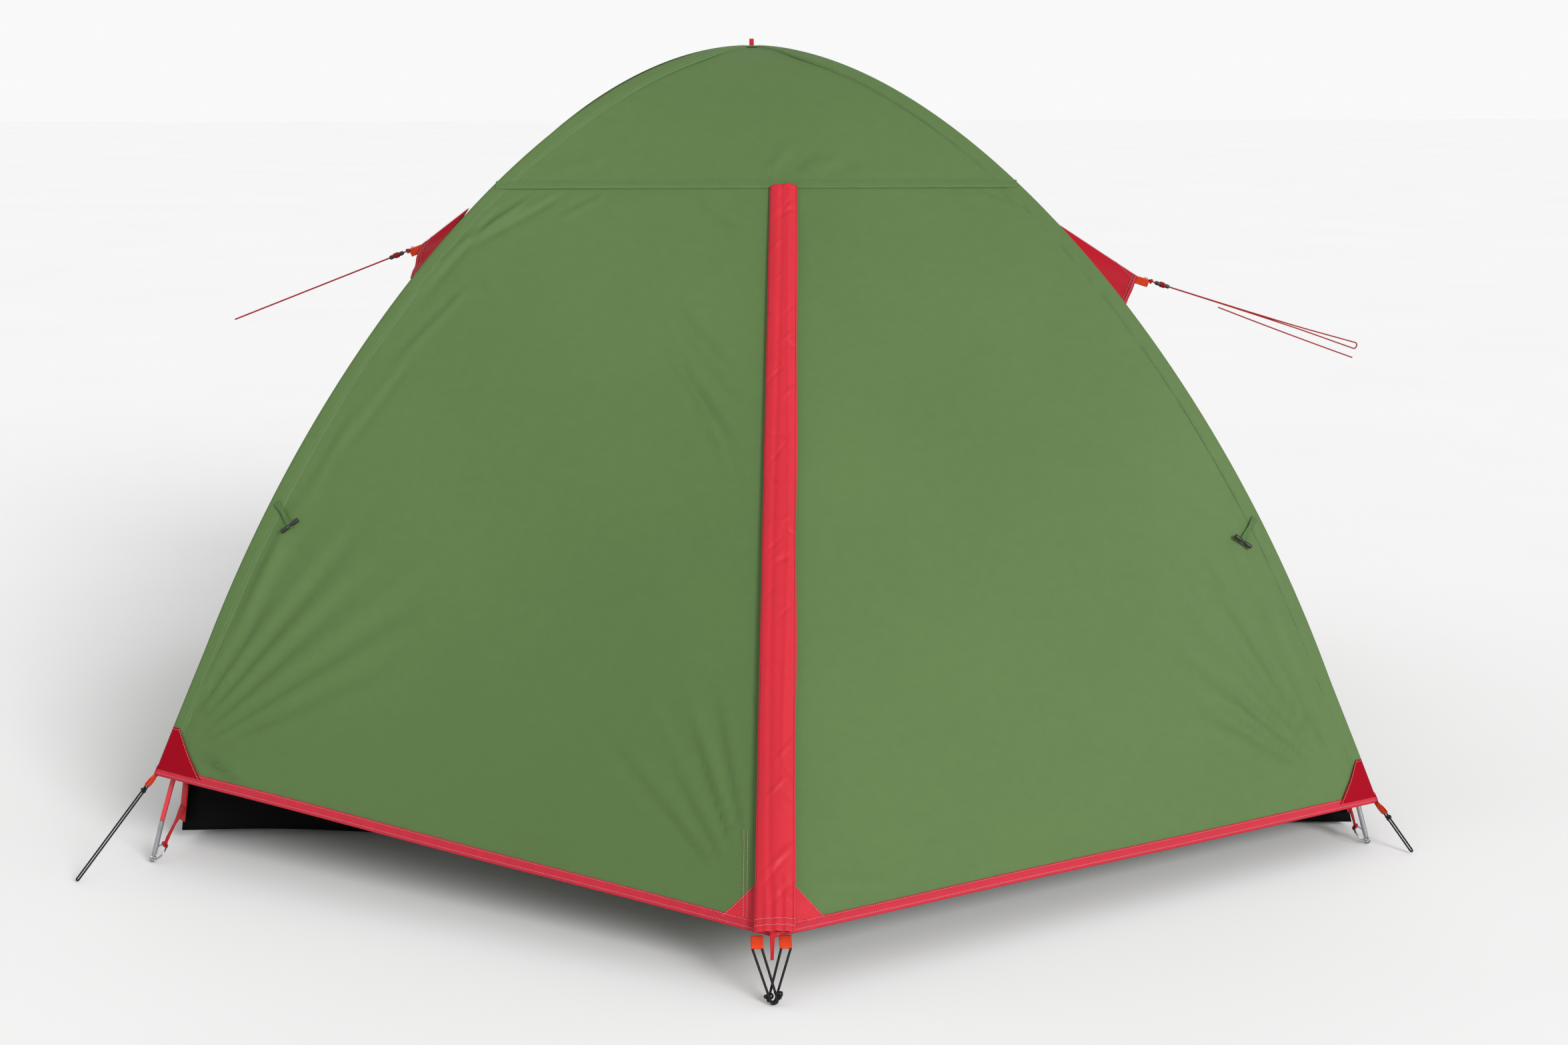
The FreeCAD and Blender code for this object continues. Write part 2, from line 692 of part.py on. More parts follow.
def guy_tail():
    """Loose end of the right guy line, below its loop."""
    run, _across, normal = guy_frame(HOOD_TIP_RIGHT, GUY_END_RIGHT)
    down = normal if normal.z < 0 else normal * -1
    start = HOOD_TIP_RIGHT + run * (RUNNER_PLACE + RUNNER[0] / 2 + 108.0) + down * 9.0
    end = GUY_END_RIGHT + down * 24.0
    middle = between(start, end, 0.5) + down * 2.0
    save("guy_tail_right", tube("guy_tail_right", [start, middle, end], GUY_D))


# ---------------------------------------------------------------- pegging cords
def peg_cords():
    """Elastic loops at the front corners and cord loops at the middle of the front hem."""
    for side, word, hem, peg in ((-1, "left", HEM_LEFT, Vector(-1154.0, -839.0, 4.0)),
                                 (1, "right", HEM_RIGHT, Vector(1112.0, -800.0, 4.0))):
        corner = ridge(hem, side, -1, FLY_OFFSET)
        out = Vector(side * 0.62, -0.28, -0.73).normalize()
        start = corner + out * 23.5 + Vector(-side * 1.5, 1.0, 0)
        run = (peg - start).normalize()
        across = run.cross(Vector(side * 0.5, 0.5, 0.7)).normalize() * 3.5
        points = [start - across, peg - across, peg + across, start + across]
        name = "corner_elastic_%s" % word
        save(name, tube(name, points, ELASTIC_D))
    for side, word, depth, foot in ((-1, "left", -5.0, -1.0), (1, "right", 2.5, -6.0)):
        centre = front_point(side, 0.0, 1.0) + Vector(TAB_PLACE[side], 0, 0)
        top = centre + Vector(0, -22.5, -9.2)
        low = Vector(ZIP_FOOT_X + foot, top.y - 20.0 + depth, PEG_LOOP_D / 2 + 2.0)
        points = [top - Vector(7.0, 0, 0), low - Vector(5.0, 0, 0), low + Vector(5.0, 0, 0),
                  top + Vector(7.0, 0, 0)]
        name = "peg_loop_%s" % word
        save(name, tube(name, points, PEG_LOOP_D))


# ---------------------------------------------------------------- toggles
TOGGLE_HEIGHT = 0.41
TAPE = (58.0, 11.0, 1.4)
TOGGLE_BAR = (36.0, 8.0)


def toggle_frame(side):
    """Where a tape is sewn, the way it hangs down the gusset, across it, and out from it."""
    top = front_point(side, TOGGLE_HEIGHT, 0.012)
    low = front_point(side, TOGGLE_HEIGHT - 0.030, 0.060)
    across_panel = front_point(side, TOGGLE_HEIGHT, 0.2) - front_point(side, TOGGLE_HEIGHT, 0.0)
    along_panel = front_point(side, TOGGLE_HEIGHT + 0.03, 0.03) - front_point(side, TOGGLE_HEIGHT - 0.03, 0.03)
    out = across_panel.cross(along_panel).normalize()
    if out.y > 0:
        out = out * -1
    run = (low - top).normalize()
    return top + out * 3.5, run, run.cross(out).normalize(), out


def toggles():
    for side, word in ((-1, "left"), (1, "right")):
        top, run, across, out = toggle_frame(side)
        tape = bar(top, top + run * TAPE[0], across, TAPE[1], TAPE[2])
        centre = top + run * (TAPE[0] - 4.0) + out * (TOGGLE_BAR[1] / 2 + 0.2)
        start = centre - across * (TOGGLE_BAR[0] / 2)
        toggle = tape.fuse(Part.makeCylinder(TOGGLE_BAR[1] / 2, TOGGLE_BAR[0], start, across))
        other = {"left": "right", "right": "left"}[word]
        save("toggle_front_%s" % word, toggle)
        save("toggle_rear_%s" % other, turned(toggle))


# ---------------------------------------------------------------- inner tent
INNER_LOW = share_at_height(TUB_HEIGHT + 3.0, -INNER_OFFSET)
INNER_TOP = 0.97
INNER_CLOTH = 1.5


def inner_point(u, side, end, deeper=0.0):
    """Point of an inner corner seam, which runs under the pole."""
    s, z = arch(u, -INNER_OFFSET - deeper)
    low = arch(INNER_LOW, -INNER_OFFSET - deeper)[0] * FOOT_SPACING_X / 2 / HALF_SPAN
    x = s * FOOT_SPACING_X / 2 / HALF_SPAN * (FLOOR_X - deeper) / low
    y = x * (FLOOR_Y - deeper) / (FLOOR_X - deeper)
    return Vector(side * x, end * y, z)


def inner_panel(shares, first, second, columns=(0.0, 1.0)):
    grids = []
    for deeper in (0.0, INNER_CLOTH):
        grid = []
        for u in shares:
            a = inner_point(u, first[0], first[1], deeper)
            b = inner_point(u, second[0], second[1], deeper)
            grid.append([between(a, b, c) for c in columns])
        grids.append(grid)
    return cloth(grids[0], grids[1])


def groundsheet():
    outer = Part.makeBox(2 * FLOOR_X, 2 * FLOOR_Y, TUB_HEIGHT, Vector(-FLOOR_X, -FLOOR_Y, 0))
    room = Part.makeBox(2 * (FLOOR_X - TUB_WALL), 2 * (FLOOR_Y - TUB_WALL), TUB_HEIGHT,
                        Vector(-FLOOR_X + TUB_WALL, -FLOOR_Y + TUB_WALL, TUB_WALL))
    save("groundsheet", outer.cut(room))


def inner_rows():
    """Rows that every inner panel shares: below the door, beside it, above it."""
    low = share_at_height(DOOR_SILL, -INNER_OFFSET)
    high = share_at_height(DOOR_HEAD, -INNER_OFFSET)
    return [INNER_LOW, low], rows_along(low, high), rows_along(high, INNER_TOP)


def inner_sides():
    below, beside, above = inner_rows()
    shares = below + beside[1:] + above[1:]
    left = inner_panel(shares, (-1, -1), (-1, 1))
    save("inner_side_left", left)
    save("inner_side_right", turned(left))
    top = inner_point(INNER_TOP, 1, 1)
    crown = Part.makeBox(2 * top.x, 2 * top.y, INNER_CLOTH, Vector(-top.x, -top.y, top.z + 0.1))
    save("inner_crown", crown)


def door_columns(u, half):
    """Shares across the inner front wall for a half width."""
    x = inner_point(u, 1, -1).x
    return 0.5 - half / x / 2, 0.5 + half / x / 2


def half_door(u, low, high):
    share = (u - low) / (high - low)
    return DOOR_HALF_FOOT + (DOOR_HALF_HEAD - DOOR_HALF_FOOT) * share ** 1.6


def inner_front_piece(shares, left_of, right_of):
    """Part of the inner front wall between two column rules."""
    grids = []
    for deeper in (0.0, INNER_CLOTH):
        grid = []
        for u in shares:
            a = inner_point(u, -1, -1, deeper)
            b = inner_point(u, 1, -1, deeper)
            grid.append([between(a, b, left_of(u)), between(a, b, right_of(u))])
        grids.append(grid)
    return cloth(grids[0], grids[1])


def inner_front():
    below, shares, above = inner_rows()
    low = shares[0]
    high = shares[-1]
    pieces = [inner_panel(below, (-1, -1), (1, -1)),
              inner_panel(above, (-1, -1), (1, -1)),
              inner_front_piece(shares, lambda u: 0.0,
                                lambda u: door_columns(u, half_door(u, low, high))[0]),
              inner_front_piece(shares, lambda u: door_columns(u, half_door(u, low, high))[1],
                                lambda u: 1.0)]
    wall = pieces[0].multiFuse(pieces[1:])
    save("inner_front", wall)
    save("inner_rear", turned(wall))
    gap = DOOR_GAP / HALF_LENGTH
    inside = rows_along(low + gap, high - gap)
    door = inner_front_piece(inside,
                             lambda u: door_columns(u, half_door(u, low, high) - DOOR_GAP)[0],
                             lambda u: door_columns(u, half_door(u, low, high) - DOOR_GAP)[1])
    save("inner_door_front", door)
    save("inner_door_rear", turned(door))
    return inner_point(low, 1, -1)


def pole_clips():
    """Hooks that hang the inner tent on the poles."""
    solids = []
    for side, end in quarters():
        for u in (0.2, 0.38, 0.56, 0.74):
            lift = POLE_STEP * (-1 if side * end > 0 else 1)
            centre = ridge(u, side, end)
            centre.z += lift * centre.z / TABLE[-1][1]
            ahead = ridge(u + 0.01, side, end) - ridge(u - 0.01, side, end)
            ahead = ahead.normalize()
            seam = inner_point(u, side, end)
            reach = seam - centre
            reach = (reach - ahead * reach.dot(ahead))
            inward = Vector(reach).normalize()
            hook = Part.makeCylinder(7.5, 9.0, centre - ahead * 4.5, ahead)
            hook = hook.cut(Part.makeCylinder(5.4, 9.0, centre - ahead * 4.5, ahead))
            mouth = bar(centre - inward * 20.0, centre - inward * 1.0, ahead, 12.0, 8.0)
            hook = hook.cut(mouth)
            tail = bar(centre + inward * 6.6, centre + inward * (reach.Length - 3.0), ahead, 8.0, 2.4)
            solids.append(hook.fuse(tail))
    save("pole_clips", *solids)


# ---------------------------------------------------------------- build
def show(name, point, direction):
    print("LINE", name, [round(c / 1000, 5) for c in point], [round(c, 6) for c in direction])


pole("pole_a", -1, -POLE_STEP)
pole("pole_b", 1, POLE_STEP)
pole_tips()
ring_pins()
corner_straps()
roof()
side_wall()
gussets()
for leaf_side, leaf_word in ((-1, "left"), (1, "right")):
    leaf_point, leaf_along = leaf_parts(leaf_side, leaf_word)
    show("door_front_%s" % leaf_word, leaf_point, leaf_along)
flap_point, flap_along = zip_and_flap()
show("flap_front", flap_point, flap_along)
sliders()
show("zip_front", ZIP_FOOT, ZIP_RUN)
corner_pieces()
apex_loop()
vents_and_guys()
guy_tail()
for guy_tip, guy_end in ((HOOD_TIP_LEFT, GUY_END_LEFT), (HOOD_TIP_RIGHT, GUY_END_RIGHT)):
    show("guy", guy_tip, (guy_end - guy_tip).normalize())
peg_cords()
toggles()
for toggle_side in (-1, 1):
    toggle_top, toggle_run, toggle_across, toggle_out = toggle_frame(toggle_side)
    show("toggle", toggle_top, toggle_across)
groundsheet()
inner_sides()
show("inner_door_front", inner_front(), Vector(1, 0, 0))
pole_clips()
print("pole length", round(2 * HALF_LENGTH, 1), "crossing height", round(TABLE[-1][1], 1))
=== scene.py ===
"""Looks of a dome tent on two crossing poles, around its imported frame. Metres, X right, -Y front, Z up."""

import math
import random

import bpy
import numpy as np
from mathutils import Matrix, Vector


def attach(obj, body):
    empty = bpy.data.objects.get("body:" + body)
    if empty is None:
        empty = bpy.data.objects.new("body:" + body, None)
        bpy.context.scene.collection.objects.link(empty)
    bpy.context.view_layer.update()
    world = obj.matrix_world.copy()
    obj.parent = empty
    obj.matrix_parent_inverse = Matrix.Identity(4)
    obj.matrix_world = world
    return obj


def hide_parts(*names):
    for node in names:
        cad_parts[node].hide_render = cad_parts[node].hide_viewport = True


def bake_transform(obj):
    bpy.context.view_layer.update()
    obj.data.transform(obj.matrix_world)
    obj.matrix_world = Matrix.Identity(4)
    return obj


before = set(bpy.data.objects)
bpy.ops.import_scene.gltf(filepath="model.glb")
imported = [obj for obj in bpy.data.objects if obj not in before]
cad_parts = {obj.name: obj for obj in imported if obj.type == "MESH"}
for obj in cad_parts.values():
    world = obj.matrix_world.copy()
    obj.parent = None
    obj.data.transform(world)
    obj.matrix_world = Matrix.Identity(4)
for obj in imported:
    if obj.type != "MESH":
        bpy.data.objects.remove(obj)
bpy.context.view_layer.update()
scene = bpy.context.scene

# ---------------------------------------------------------------- camera
SENSOR, LENS = 36.0, 52.8
CAMERA_PLACE = (-0.134, -4.507, 1.400)
CAMERA_DOWN, CAMERA_TURN = 12.24, -2.494   # degrees
camera_data = bpy.data.cameras.new("camera")
camera_data.sensor_width = SENSOR
camera_data.lens = LENS
camera = bpy.data.objects.new("camera", camera_data)
camera.location = CAMERA_PLACE
camera.rotation_euler = (math.radians(90.0 - CAMERA_DOWN), 0.0, math.radians(CAMERA_TURN))
scene.collection.objects.link(camera)
scene.camera = camera
scene.view_settings.view_transform = "Standard"

# ---------------------------------------------------------------- the tent's own measures, as in the frame
FOOT_X, FOOT_Y = 1.050, 0.750
FOOT_LEAN, LEAN_GAIN, TOP_POWER = 16.4, 48.6, 6.34
CLOTH = 0.0016
FLY = 0.018
INNER = 0.034
SEAM_HEIGHT = 1.115
HEM_BAND = 0.018
ZIP_TOP_X, ZIP_FOOT = 0.047, Vector((-0.010, -1.335, 0.088))
FLOOR_X, FLOOR_Y, TUB_HEIGHT = 0.990, 0.645, 0.130
HALF_SPAN = math.hypot(FOOT_X, FOOT_Y)
STEPS = 400
FLARE = (0.018, 0.010, 0.012)   # how far the corner cords pull the fly's corners off the poles
FLARE_SHARE = 0.11


def lean(u):
    last = 90.0 - FOOT_LEAN - LEAN_GAIN
    return math.radians(FOOT_LEAN + LEAN_GAIN * u + last * u ** TOP_POWER)


def pole_table():
    across, up = [0.0], [0.0]
    for i in range(STEPS):
        middle = lean((i + 0.5) / STEPS)
        across.append(across[-1] + math.sin(middle) / STEPS)
        up.append(up[-1] + math.cos(middle) / STEPS)
    length = HALF_SPAN / across[-1]
    return length, [(HALF_SPAN - a * length, b * length) for a, b in zip(across, up)]


HALF_LENGTH, TABLE = pole_table()


def arch(u, offset=0.0):
    place = min(max(u, 0.0), 1.0) * STEPS
    low = min(int(place), STEPS - 1)
    share = place - low
    s = TABLE[low][0] * (1 - share) + TABLE[low + 1][0] * share
    z = TABLE[low][1] * (1 - share) + TABLE[low + 1][1] * share
    return s + offset * math.cos(lean(u)), z + offset * math.sin(lean(u))


def ridge(u, side, end, offset=0.0):
    s, z = arch(u, offset)
    point = Vector((side * s * FOOT_X / HALF_SPAN, end * s * FOOT_Y / HALF_SPAN, z))
    if offset == FLY:
        away = 1 - (u - HEM[-side * end]) / FLARE_SHARE
        if away > 0:
            point += Vector((side * FLARE[0], end * FLARE[1], -FLARE[2])) * min(away, 1.1) ** 1.5
    return point


def share_at_height(height, offset=0.0):
    low, high = 0.0, 1.0
    for _ in range(40):
        middle = (low + high) / 2
        if arch(middle, offset)[1] < height:
            low = middle
        else:
            high = middle
    return low


def between(a, b, share):
    return a * (1 - share) + b * share


def smooth(x, low, high):
    """0 below low, 1 above high, smooth between."""
    t = min(max((x - low) / (high - low), 0.0), 1.0)
    return t * t * (3 - 2 * t)


def turned(point):
    return Vector((-point[0], -point[1], point[2]))


def even(low, high, count, bias=1.0):
    """Count steps from low to high. A bias below 1 makes the first steps longer."""
    return [low + (high - low) * (i / count) ** bias for i in range(count + 1)]


def signed_power(value, power):
    return math.copysign(abs(value) ** power, value)


def facing(direction, outwards):
    """The direction or its opposite, whichever points more outwards."""
    return -direction if direction.dot(outwards) < 0 else direction


# Where the hem meets the pole on each side, as a share of the half pole: the fly is pitched unevenly.
HEM = {-1: share_at_height(0.166, FLY), 1: share_at_height(0.090, FLY)}
SEAM = share_at_height(SEAM_HEIGHT, FLY)
CROWN = 0.985
ZIP_TOP = Vector((ZIP_TOP_X, ridge(SEAM, -1, -1, FLY).y, SEAM_HEIGHT))
ZIP_RUN = (ZIP_TOP - ZIP_FOOT).normalized()
ZIP_OUT = Vector((1, 0, 0)).cross(ZIP_RUN).normalized()
ZIP_LENGTH = (ZIP_TOP - ZIP_FOOT).length
WORD = {-1: "left", 1: "right"}
TAB_PLACE = {-1: -0.026, 1: 0.016}


def front_point(side, t, v, rise=0.0):
    """Point of a front door panel: t up from the hem, v across from the pole to the zip, rise outwards."""
    pole_side = ridge(HEM[side] + (SEAM - HEM[side]) * t, side, -1, FLY)
    point = between(pole_side, between(ZIP_FOOT, ZIP_TOP, t), v)
    return point + front_normal(side, t, v) * rise if rise else point


def front_normal(side, t, v):
    low, high = max(t - 0.01, 0.0), min(t + 0.01, 1.0)
    along = front_point(side, high, v) - front_point(side, low, v)
    across = (front_point(side, t, 1.0) - front_point(side, t, 0.0)) * -side
    return across.cross(along).normalized()


# ---------------------------------------------------------------- building blocks
def grid_faces(rows, columns, left_out=()):
    faces = []
    for i in range(rows - 1):
        for j in range(columns - 1):
            if (i, j) not in left_out:
                a = i * columns + j
                faces.append((a, a + 1, a + columns + 1, a + columns))
    return faces


def piece(name, points, faces, material, body=None, nodes=(), slot=None, uv=None, thick=0.0):
    """A mesh piece that rides on a body and stands for the nodes it replaces."""
    mesh = bpy.data.meshes.new(name)
    mesh.from_pydata([tuple(p) for p in points], [], faces)
    if uv is not None:
        layer = mesh.uv_layers.new(name="UVMap")
        for loop in mesh.loops:
            layer.data[loop.index].uv = uv[loop.vertex_index]
    mesh.polygons.foreach_set("use_smooth", [True] * len(mesh.polygons))
    mesh.update()
    obj = bpy.data.objects.new(name, mesh)
    scene.collection.objects.link(obj)
    obj.data.materials.append(material)
    if thick:
        shell = obj.modifiers.new("shell", "SOLIDIFY")
        shell.thickness = abs(thick)
        shell.offset = -1.0 if thick > 0 else 1.0
    if body:
        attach(obj, body)
    if nodes:
        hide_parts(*nodes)
    return obj


def grid(name, rows, material, left_out=(), **options):
    """A cloth piece from rows of points, with its texture laid out in metres."""
    columns = len(rows[0])
    points = [p for row in rows for p in row]
    uv = []
    up = 0.0
    for i, row in enumerate(rows):
        if i:
            up += (row[columns // 2] - rows[i - 1][columns // 2]).length
        along = 0.0
        for j, p in enumerate(row):
            if j:
                along += (p - row[j - 1]).length
            uv.append((along, up))
    return piece(name, points, grid_faces(len(rows), columns, left_out), material, uv=uv, **options)


def turn_rows(rows):
    return [[turned(p) for p in row] for row in rows]


def ring_faces(rings, around):
    """Faces between closed rings of points that follow each other, with both ends shut."""
    faces = []
    for i in range(rings - 1):
        for j in range(around):
            k = (j + 1) % around
            faces.append((i * around + j, i * around + k, (i + 1) * around + k, (i + 1) * around + j))
    faces.append(tuple(range(around - 1, -1, -1)))
    faces.append(tuple((rings - 1) * around + j for j in range(around)))
    return faces


def sweep(centres, frames, profile):
    """Points and faces of a closed profile carried along centres. A frame is two directions."""
    points = [centre + first * a + second * b
              for centre, (first, second) in zip(centres, frames) for a, b in profile]
    return points, ring_faces(len(centres), len(profile))


def lathed(stations, around, spot):
    """Points and faces of rings. A station is a place and a size, and spot gives a point of its ring."""
    points = [spot(place, size, 2 * math.pi * m / around) for place, size in stations for m in range(around)]
    return points, ring_faces(len(stations), around)


class Gather:
    """Points and faces of several small parts that become one piece."""

    def __init__(self):
        self.points, self.faces = [], []

    def add(self, points, faces):
        base = len(self.points)
        self.points += list(points)
        self.faces += [tuple(base + i for i in face) for face in faces]

    def turned(self):
        other = Gather()
        other.points = [turned(p) for p in self.points]
        other.faces = list(self.faces)
        return other


ENDS = ((False, "front"), (True, "rear"))
HALVES = ((False, "left"), (True, "right"))


def ends_of(side):
    """Front and rear: whether the piece is turned, the end's word, and the side's word at that end."""
    return (False, "front", WORD[side]), (True, "rear", WORD[-side])


def part(name, shape, rear, material, body="tent", **options):
    """A piece from rows of points or from gathered parts, as it is or turned to the rear."""
    if isinstance(shape, Gather):
        shown = shape.turned() if rear else shape
        return piece(name, shown.points, shown.faces, material, body=body, **options)
    return grid(name, turn_rows(shape) if rear else shape, material, body=body, **options)


def stitch_row(gather, points, normals, pitch=0.0042, share=0.66, width=0.00075, rise=0.0006):
    """Single stitches of thread laid along a line on cloth."""
    lengths = [0.0]
    for a, b in zip(points[:-1], points[1:]):
        lengths.append(lengths[-1] + (b - a).length)
    total = lengths[-1]
    place, k = pitch * 0.3, 0
    while place + pitch * share < total:
        ends = []
        for at in (place, place + pitch * share):
            while k < len(points) - 2 and lengths[k + 1] < at:
                k += 1
            f = (at - lengths[k]) / max(lengths[k + 1] - lengths[k], 1e-9)
            ends.append((between(points[k], points[k + 1], f),
                         between(normals[k], normals[k + 1], f).normalized()))
        (a, n), (b, _) = ends
        along = (b - a).normalized()
        beside = along.cross(n).normalized() * (width / 2)
        m = (a + b) / 2
        corners = []
        for centre, height in ((a, -0.0001), (between(a, m, 0.45), rise),
                               (between(m, b, 0.55), rise), (b, -0.0001)):
            flank = n * (height * 0.4)
            corners += [centre - beside + flank, centre + n * height, centre + beside + flank]
        faces = []
        for i in range(3):
            c = i * 3
            faces += [(c, c + 3, c + 4, c + 1), (c + 1, c + 4, c + 5, c + 2), (c + 2, c + 5, c + 3, c)]
        faces += [(0, 1, 2), (9, 11, 10)]
        gather.add(corners, faces)
        place += pitch


# ---------------------------------------------------------------- materials
def node(tree, kind, x, y, **values):
    made = tree.nodes.new(kind)
    made.location = (x, y)
    for key, value in values.items():
        if hasattr(made, key):
            setattr(made, key, value)
        else:
            made.inputs[key.replace("_", " ")].default_value = value
    return made


def new_material(name, roughness, metallic=0.0, specular=0.5, sheen=0.0, coat=0.0):
    material = bpy.data.materials.new(name)
    material.use_nodes = True
    tree = material.node_tree
    shader = tree.nodes["Principled BSDF"]
    shader.inputs["Roughness"].default_value = roughness
    shader.inputs["Metallic"].default_value = metallic
    shader.inputs["Specular IOR Level"].default_value = specular
    shader.inputs["Sheen Weight"].default_value = sheen
    shader.inputs["Sheen Roughness"].default_value = 0.4
    shader.inputs["Coat Weight"].default_value = coat
    shader.inputs["Coat Roughness"].default_value = 0.15
    return material, tree, shader


def tint(color, factor):
    return (min(color[0] * factor, 1.0), min(color[1] * factor, 1.0), min(color[2] * factor, 1.0), 1.0)


def colour_noise(tree, coordinates, color, scale, amount, detail=3.0, y=300):
    """The colour, lighter and darker by noise."""
    noise = node(tree, "ShaderNodeTexNoise", -900, y, Scale=scale, Detail=detail, Roughness=0.55)
    ramp = node(tree, "ShaderNodeValToRGB", -700, y)
    ramp.color_ramp.elements[0].position = 0.3
    ramp.color_ramp.elements[0].color = tint(color, 1 - amount)
    ramp.color_ramp.elements[1].position = 0.72
    ramp.color_ramp.elements[1].color = tint(color, 1 + amount)
    tree.links.new(coordinates, noise.inputs["Vector"])
    tree.links.new(noise.outputs["Fac"], ramp.inputs["Fac"])
    return ramp.outputs["Color"]


def multiply(tree, a, b, factor, y=200):
    mix = node(tree, "ShaderNodeMix", -400, y, data_type="RGBA", blend_type="MULTIPLY")
    mix.inputs["Factor"].default_value = factor
    tree.links.new(a, mix.inputs[6])
    tree.links.new(b, mix.inputs[7])
    return mix.outputs[2]


def weave(tree, uv, pitch, y=-300):
    """Height of a plain weave: two sets of bands that take turns on top."""
    heights = []
    for k, direction in enumerate(("X", "Y")):
        wave = node(tree, "ShaderNodeTexWave", -900, y - 200 * k, wave_type="BANDS",
                    bands_direction=direction, wave_profile="SIN", Scale=0.314159 / pitch, Distortion=0.6)
        wave.inputs["Detail"].default_value = 1.0
        tree.links.new(uv, wave.inputs["Vector"])
        heights.append(wave.outputs["Fac"])
    top = node(tree, "ShaderNodeMath", -700, y, operation="MAXIMUM")
    tree.links.new(heights[0], top.inputs[0])
    tree.links.new(heights[1], top.inputs[1])
    return top.outputs["Value"]


def bump(tree, shader, height, strength, distance, before=None):
    made = node(tree, "ShaderNodeBump", -200, -300, Strength=strength, Distance=distance)
    tree.links.new(height, made.inputs["Height"])
    if before is not None:
        tree.links.new(before.outputs["Normal"], made.inputs["Normal"])
    tree.links.new(made.outputs["Normal"], shader.inputs["Normal"])
    return made


def noise_height(tree, coordinates, scale, detail=4.0, y=-700):
    noise = node(tree, "ShaderNodeTexNoise", -900, y, Scale=scale, Detail=detail, Roughness=0.6)
    tree.links.new(coordinates, noise.inputs["Vector"])
    return noise.outputs["Fac"]


def cloth_material(name, color, roughness=0.55, specular=0.16, sheen=0.0, pitch=0.0007,
                   mottle=0.035, crinkle=0.35, scale=1.0):
    """Coated taffeta: fine weave, faint mottling, small crinkles and uneven gloss."""
    material, tree, shader = new_material(name, roughness, specular=specular, sheen=sheen)
    place = node(tree, "ShaderNodeTexCoord", -1150, 0)
    broad = colour_noise(tree, place.outputs["Object"], color, 2.3 * scale, mottle, y=500)
    fine = colour_noise(tree, place.outputs["Object"], (1.0, 1.0, 1.0), 55.0 * scale, mottle * 1.3,
                        detail=5.0, y=250)
    threads = weave(tree, place.outputs["UV"], pitch)
    tree.links.new(multiply(tree, broad, fine, 1.0), shader.inputs["Base Color"])
    gloss = node(tree, "ShaderNodeMapRange", -400, 0)
    gloss.inputs["To Min"].default_value = roughness - 0.07
    gloss.inputs["To Max"].default_value = roughness + 0.07
    rough_noise = noise_height(tree, place.outputs["Object"], 16.0 * scale, y=-900)
    tree.links.new(rough_noise, gloss.inputs["Value"])
    tree.links.new(gloss.outputs["Result"], shader.inputs["Roughness"])
    soft = bump(tree, shader, noise_height(tree, place.outputs["Object"], 26.0 * scale), crinkle, 0.0012)
    bump(tree, shader, threads, 0.25, 0.0002, before=soft)
    return material


def webbing_material(name, color, pitch=0.0016):
    """Woven tape: crosswise ribs with a herringbone of fine threads, with painted shade in the grooves
    between ribs and a slight painted highlight on their tops.
    """
    material, tree, shader = new_material(name, 0.6, specular=0.15, sheen=0.03)
    place = node(tree, "ShaderNodeTexCoord", -1150, 0)
    base = colour_noise(tree, place.outputs["Object"], color, 120.0, 0.12, y=500)
    ribs = node(tree, "ShaderNodeTexWave", -900, 0, wave_type="BANDS", bands_direction="Y",
                Scale=0.314159 / pitch, Distortion=1.2)
    tree.links.new(place.outputs["UV"], ribs.inputs["Vector"])
    # Painted shade and highlight: the rib bands darken the colour in the grooves and lighten it on the rib
    # tops, in step with the bump.
    rib_shade = node(tree, "ShaderNodeMapRange", -650, 0)
    rib_shade.inputs["To Min"].default_value = 0.72
    rib_shade.inputs["To Max"].default_value = 1.06
    tree.links.new(ribs.outputs["Fac"], rib_shade.inputs["Value"])
    tree.links.new(multiply(tree, base, rib_shade.outputs["Result"], 1.0), shader.inputs["Base Color"])
    bump(tree, shader, ribs.outputs["Fac"], 0.6, 0.0005)
    return material


def cord_material(name, color, second, pitch=0.0018):
    """Braided cord: crossing strands with a fleck of a second colour."""
    material, tree, shader = new_material(name, 0.62, specular=0.15, sheen=0.04)
    place = node(tree, "ShaderNodeTexCoord", -1150, 0)
    braid = node(tree, "ShaderNodeTexVoronoi", -900, 0, Scale=0.9 / pitch)
    tree.links.new(place.outputs["Object"], braid.inputs["Vector"])
    ramp = node(tree, "ShaderNodeValToRGB", -650, 0)
    ramp.color_ramp.elements[0].position = 0.1
    ramp.color_ramp.elements[0].color = (*color, 1.0)
    ramp.color_ramp.elements[1].position = 0.75
    ramp.color_ramp.elements[1].color = (*second, 1.0)
    tree.links.new(braid.outputs["Distance"], ramp.inputs["Fac"])
    tree.links.new(ramp.outputs["Color"], shader.inputs["Base Color"])
    bump(tree, shader, braid.outputs["Distance"], 0.5, 0.0006)
    return material


